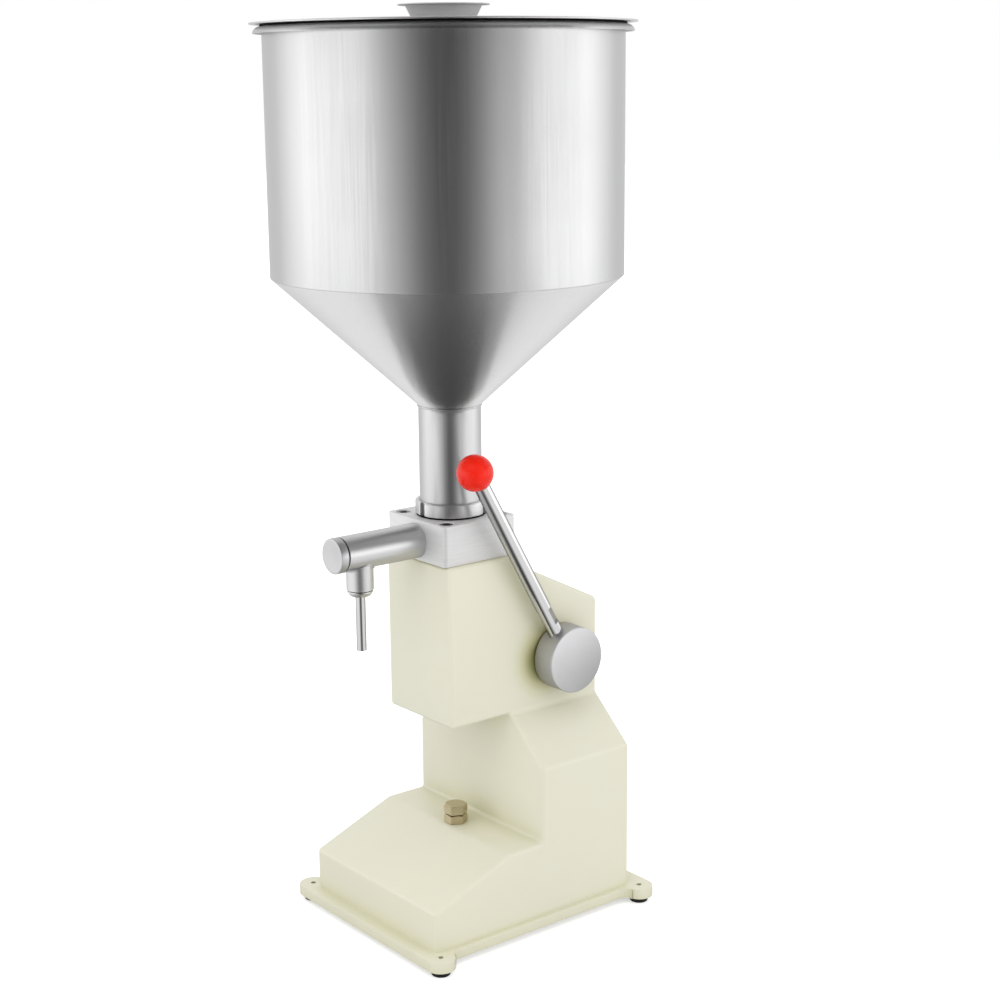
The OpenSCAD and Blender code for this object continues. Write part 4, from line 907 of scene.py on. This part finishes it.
def makeBall(b):
    low = math.asin(math.sqrt(b["radius"] ** 2 - 6.05 ** 2) / b["radius"])
    shape = [(b["tip"], b["centre"] - b["radius"] * math.sin(low))]
    for i in range(33):
        a = -low + (low + math.pi / 2) * i / 32
        shape.append((b["radius"] * math.cos(a) if i < 32 else 0, b["centre"] + b["radius"] * math.sin(a)))
    shape += [(0, rod["tipTop"] + 0.1), (b["tip"], rod["tipTop"] + 0.1)]
    bm = latheMesh(shape, 96, alongLever())
    piece = finishPiece("redBallKnob", bm, redPlastic, "lever", ["ball_knob"], 40)
    piece.visible_glossy = False   # no red patches on the metal
    return piece


makeHub(hub)
makeRod(rod)
makeBall(ball)
print("lever made")


# Stop bolt and its lock nut on the deck

bolt = {"flats": 16, "headLow": 79.3, "headTop": 86.3, "shank": 5, "shankLow": 9.3, "nutLow": 71.5, "nutTop": 78.5}


def hexMesh(flats, low, high, lowCut, highCut, bore=0):
    # Hexagon whose corners are turned off at one or both ends
    corner = flats / 2 / math.cos(math.pi / 6)
    angles = [math.pi / 3 * k for k in range(6)]
    bm = prismMesh([(corner * math.cos(a), corner * math.sin(a)) for a in angles], low, high)
    reach = corner + 1
    shape = [(0, low), (flats / 2 - 0.1, low) if lowCut else (reach, low)]
    if lowCut:
        shape.append((reach, low + (reach - flats / 2) * 0.55))
    if highCut:
        shape += [(reach, high - (reach - flats / 2) * 0.55), (flats / 2 - 0.1, high)]
    else:
        shape.append((reach, high))
    shape.append((0, high))
    bm = joined(bm, latheMesh(shape, 96), "INTERSECT")
    if bore:
        bm = cut(bm, rodMesh(bore, low - 1, high + 1))
    return bm


def makeStopBolt(b):
    bm = hexMesh(b["flats"], b["headLow"], b["headTop"], False, True)
    bm = joined(bm, rodMesh(b["shank"], b["shankLow"], b["headLow"] + 2), "UNION")
    finishPiece("stopBolt", bm, nickelPlate, "stop_bolt", ["stop_bolt"], 25)
    nut = hexMesh(b["flats"], b["nutLow"], b["nutTop"], True, True, b["shank"] + 0.05)
    finishPiece("lockNut", nut, nickelPlate, "lock_nut", ["lock_nut"], 25)


makeStopBolt(bolt)
print("stop bolt made")


# Camera at the photograph's viewing angle

camera = {"place": (1.1018, -0.8330, 0.6469), "heading": 51.37, "down": 12.9, "roll": -0.52, "lens": 67.33,
          "film": 36, "far": 50}
cameraData = bpy.data.cameras.new("photoCamera")
cameraData.lens = camera["lens"]
cameraData.sensor_width = camera["film"]
cameraData.clip_end = camera["far"]
cameraObject = bpy.data.objects.new("photoCamera", cameraData)
cameraObject.matrix_world = (Matrix.Translation(camera["place"]) @ turned(camera["heading"], "Z")
                             @ turned(90 - camera["down"], "X") @ turned(camera["roll"], "Z"))
scene.collection.objects.link(cameraObject)
scene.camera = cameraObject


# Studio: white floor and surround; reflections see both darker in front of the machine and under it

studio = {"floorRadius": 12, "floorColor": 0.9, "floorGlow": 0.55, "surround": (0.93, 0.925, 0.92), "darkTone": 0.13,
          "darkFrom": 0.995, "darkTo": 0.825, "underDark": 0.10, "underLight": 0.34,
          "highFrom": 0.02, "highTo": 0.16, "highBack": (-0.22, 0.04), "highTone": 0.2, "aimLevel": 2, "aimLow": 0.2}
# Lamps: heading from the camera's side, distance, height, width, tallness, brightness, seen in reflections
lamps = {
    "leftWide": (-82, 2.0, 0.50, 3.86, 1.0, 0.30, True),
    "leftMiddle": (-78, 2.0, 0.50, 2.90, 1.0, 0.36, True),
    "leftNarrow": (-74, 2.0, 0.50, 2.00, 1.0, 0.45, True),
    "leftCore": (-74, 2.0, 0.50, 1.15, 1.0, 1.74, True),
    "rightWide": (86, 2.0, 0.50, 3.36, 1.0, 0.36, True),
    "rightMiddle": (82, 2.0, 0.50, 2.40, 1.0, 0.36, True),
    "rightNarrow": (81, 2.0, 0.50, 1.60, 1.0, 0.38, True),
    "rightCore": (81, 2.0, 0.50, 0.90, 1.0, 1.74, True),
    "rightFront": (45, 2.0, 1.30, 1.50, 1.5, 0.75, False),
    "topFill": (-35, 1.5, 2.10, 1.50, 1.5, 1.15, False),
}
# Cards that glow at a set grey tone and are seen by reflections alone, painting darker reflections in the cone:
# corners in the camera's frame (towards it, to its right, up) and tone
cards = {
    "coneFlagWide": ([(0.026, -0.048, 0.401), (0.16, -0.125, 0.401), (0.16, 0.113, 0.401),
                      (0.026, 0.041, 0.401)], 0.26),
    "coneFlag": ([(0.026, -0.030, 0.403), (0.15, -0.084, 0.403), (0.15, 0.072, 0.403),
                  (0.026, 0.024, 0.403)], 0.075),
}
toCamera = math.atan2(camera["place"][1], camera["place"][0])


def rayShare(tree, *kinds):
    # 1 for the kinds of ray that are named, 0 for the others
    path = tree.nodes.new("ShaderNodeLightPath")
    total = path.outputs[kinds[0]]
    for kind in kinds[1:]:
        total = mathNode(tree, "MAXIMUM", total, path.outputs[kind])
    return total


def facingShare(tree, vector, s):
    # Share of darkness (1 straight in front of the machine, 0 at its sides), how far ahead, and the level part
    level = vectorNode(tree, "MULTIPLY", vector, (1, 1, 0)).outputs[0]
    unit = vectorNode(tree, "NORMALIZE", level).outputs[0]
    ahead = vectorNode(tree, "DOT_PRODUCT", unit, (math.cos(toCamera), math.sin(toCamera), 0)).outputs["Value"]
    return ranged(tree, ahead, 0, 1, s["darkTo"], s["darkFrom"]), ahead, level


def darkened(tree, share, tone):
    # 1 where share is 0, tone where it is 1
    return mathNode(tree, "SUBTRACT", 1.0, mathNode(tree, "MULTIPLY", share, 1 - tone))


def makeSurround(s):
    world = bpy.data.worlds.new("whiteStudio")
    world.use_nodes = True
    tree = world.node_tree
    tree.nodes.clear()
    place = coordinates(tree, "Generated")
    facing, ahead, level = facingShare(tree, place, s)
    # Higher up and not behind, the studio is darker
    high = mathNode(tree, "MULTIPLY", ranged(tree, splitVector(tree, place)[2], 0, 1, s["highFrom"], s["highTo"]),
                    ranged(tree, ahead, 0, 1, *s["highBack"]))
    plain = tree.nodes.new("ShaderNodeBackground")
    plain.inputs["Color"].default_value = (*s["surround"], 1)
    white = tree.nodes.new("ShaderNodeBackground")
    white.inputs["Color"].default_value = (1, 1, 1, 1)
    # Camera rays see plain white; glossy and transmission rays see the graded white
    graded = mathNode(tree, "MULTIPLY", darkened(tree, facing, s["darkTone"]), darkened(tree, high, s["highTone"]))
    camera = rayShare(tree, "Is Camera Ray")
    tree.links.new(mathNode(tree, "MAXIMUM", camera, graded), white.inputs["Strength"])
    mix = tree.nodes.new("ShaderNodeMixShader")
    out = tree.nodes.new("ShaderNodeOutputWorld")
    tree.links.new(rayShare(tree, "Is Camera Ray", "Is Glossy Ray", "Is Transmission Ray"), mix.inputs[0])
    tree.links.new(plain.outputs[0], mix.inputs[1])
    tree.links.new(white.outputs[0], mix.inputs[2])
    tree.links.new(mix.outputs[0], out.inputs["Surface"])
    scene.world = world


def stageObject(name, bm, material):
    mesh = bpy.data.meshes.new(name)
    bm.to_mesh(mesh)
    bm.free()
    mesh.materials.append(material)
    piece = bpy.data.objects.new(name, mesh)
    scene.collection.objects.link(piece)
    return piece


def stageMaterial(name, roughness, color):
    # Paint without gloss that can give white light of its own
    material, tree, shader = newMaterial(name, 0, roughness, color)
    adjust(material, {"Specular IOR Level": 0, "Emission Color": (1, 1, 1, 1)})
    return material, tree, shader


def makeFloor(s):
    white = (s["floorColor"],) * 3
    material, tree, shader = stageMaterial("floorPaint", 0.9, white)
    # Painted shade seen in reflections: the floor's glow is darker under the machine and in front of it
    facing, ahead, level = facingShare(tree, coordinates(tree), s)
    reach = vectorNode(tree, "LENGTH", level).outputs["Value"]
    under = ranged(tree, reach, 1, 0, s["underDark"], s["underLight"])
    tone = mathNode(tree, "MULTIPLY", darkened(tree, facing, s["darkTone"]), darkened(tree, under, s["darkTone"]))
    mirrored = rayShare(tree, "Is Glossy Ray", "Is Transmission Ray")
    glow = mathNode(tree, "ADD", mathNode(tree, "MULTIPLY", rayShare(tree, "Is Camera Ray"), s["floorGlow"]),
                    mathNode(tree, "MULTIPLY", mirrored, tone))
    tree.links.new(glow, shader.inputs["Emission Strength"])
    # The paint itself is left out of reflections, so that they see the graded white alone
    paint = mathNode(tree, "SUBTRACT", 1.0, mirrored)
    tree.links.new(mixedColor(tree, paint, (0, 0, 0), white), shader.inputs["Base Color"])
    bm = bmesh.new()
    bmesh.ops.create_circle(bm, cap_ends=True, radius=s["floorRadius"], segments=96)
    stageObject("paleFloor", bm, material)


def makeCards(listed):
    for name, (corners, tone) in listed.items():
        bm = bmesh.new()
        bm.faces.new([bm.verts.new(c) for c in corners])
        bm.transform(Matrix.Rotation(toCamera, 4, "Z"))
        material = stageMaterial(name, 1, (0, 0, 0))[0]
        adjust(material, {"Emission Strength": tone})
        card = stageObject(name, bm, material)
        for ray in ("visible_camera", "visible_diffuse", "visible_shadow", "visible_transmission"):
            setattr(card, ray, False)


def makeLamps(listed, s):
    for name, (angle, distance, height, wide, tall, bright, mirrored) in listed.items():
        heading = toCamera + math.radians(angle)
        lamp = bpy.data.lights.new(name, "AREA")
        lamp.shape = "RECTANGLE"
        lamp.size = wide
        lamp.size_y = tall
        lamp.energy = bright * math.pi * wide * tall
        lampObject = bpy.data.objects.new(name, lamp)
        place = Vector((math.cos(heading) * distance, math.sin(heading) * distance, height))
        lampObject.location = place
        aim = Vector((0, 0, height if height < s["aimLevel"] else s["aimLow"])) - place
        lampObject.rotation_euler = aim.to_track_quat("-Z", "Y").to_euler()
        lampObject.visible_camera = False
        lampObject.visible_glossy = mirrored
        lampObject.visible_diffuse = not mirrored
        scene.collection.objects.link(lampObject)


makeSurround(studio)
makeFloor(studio)
makeCards(cards)
makeLamps(lamps, studio)
scene.view_settings.view_transform = "Standard"
print("studio made")
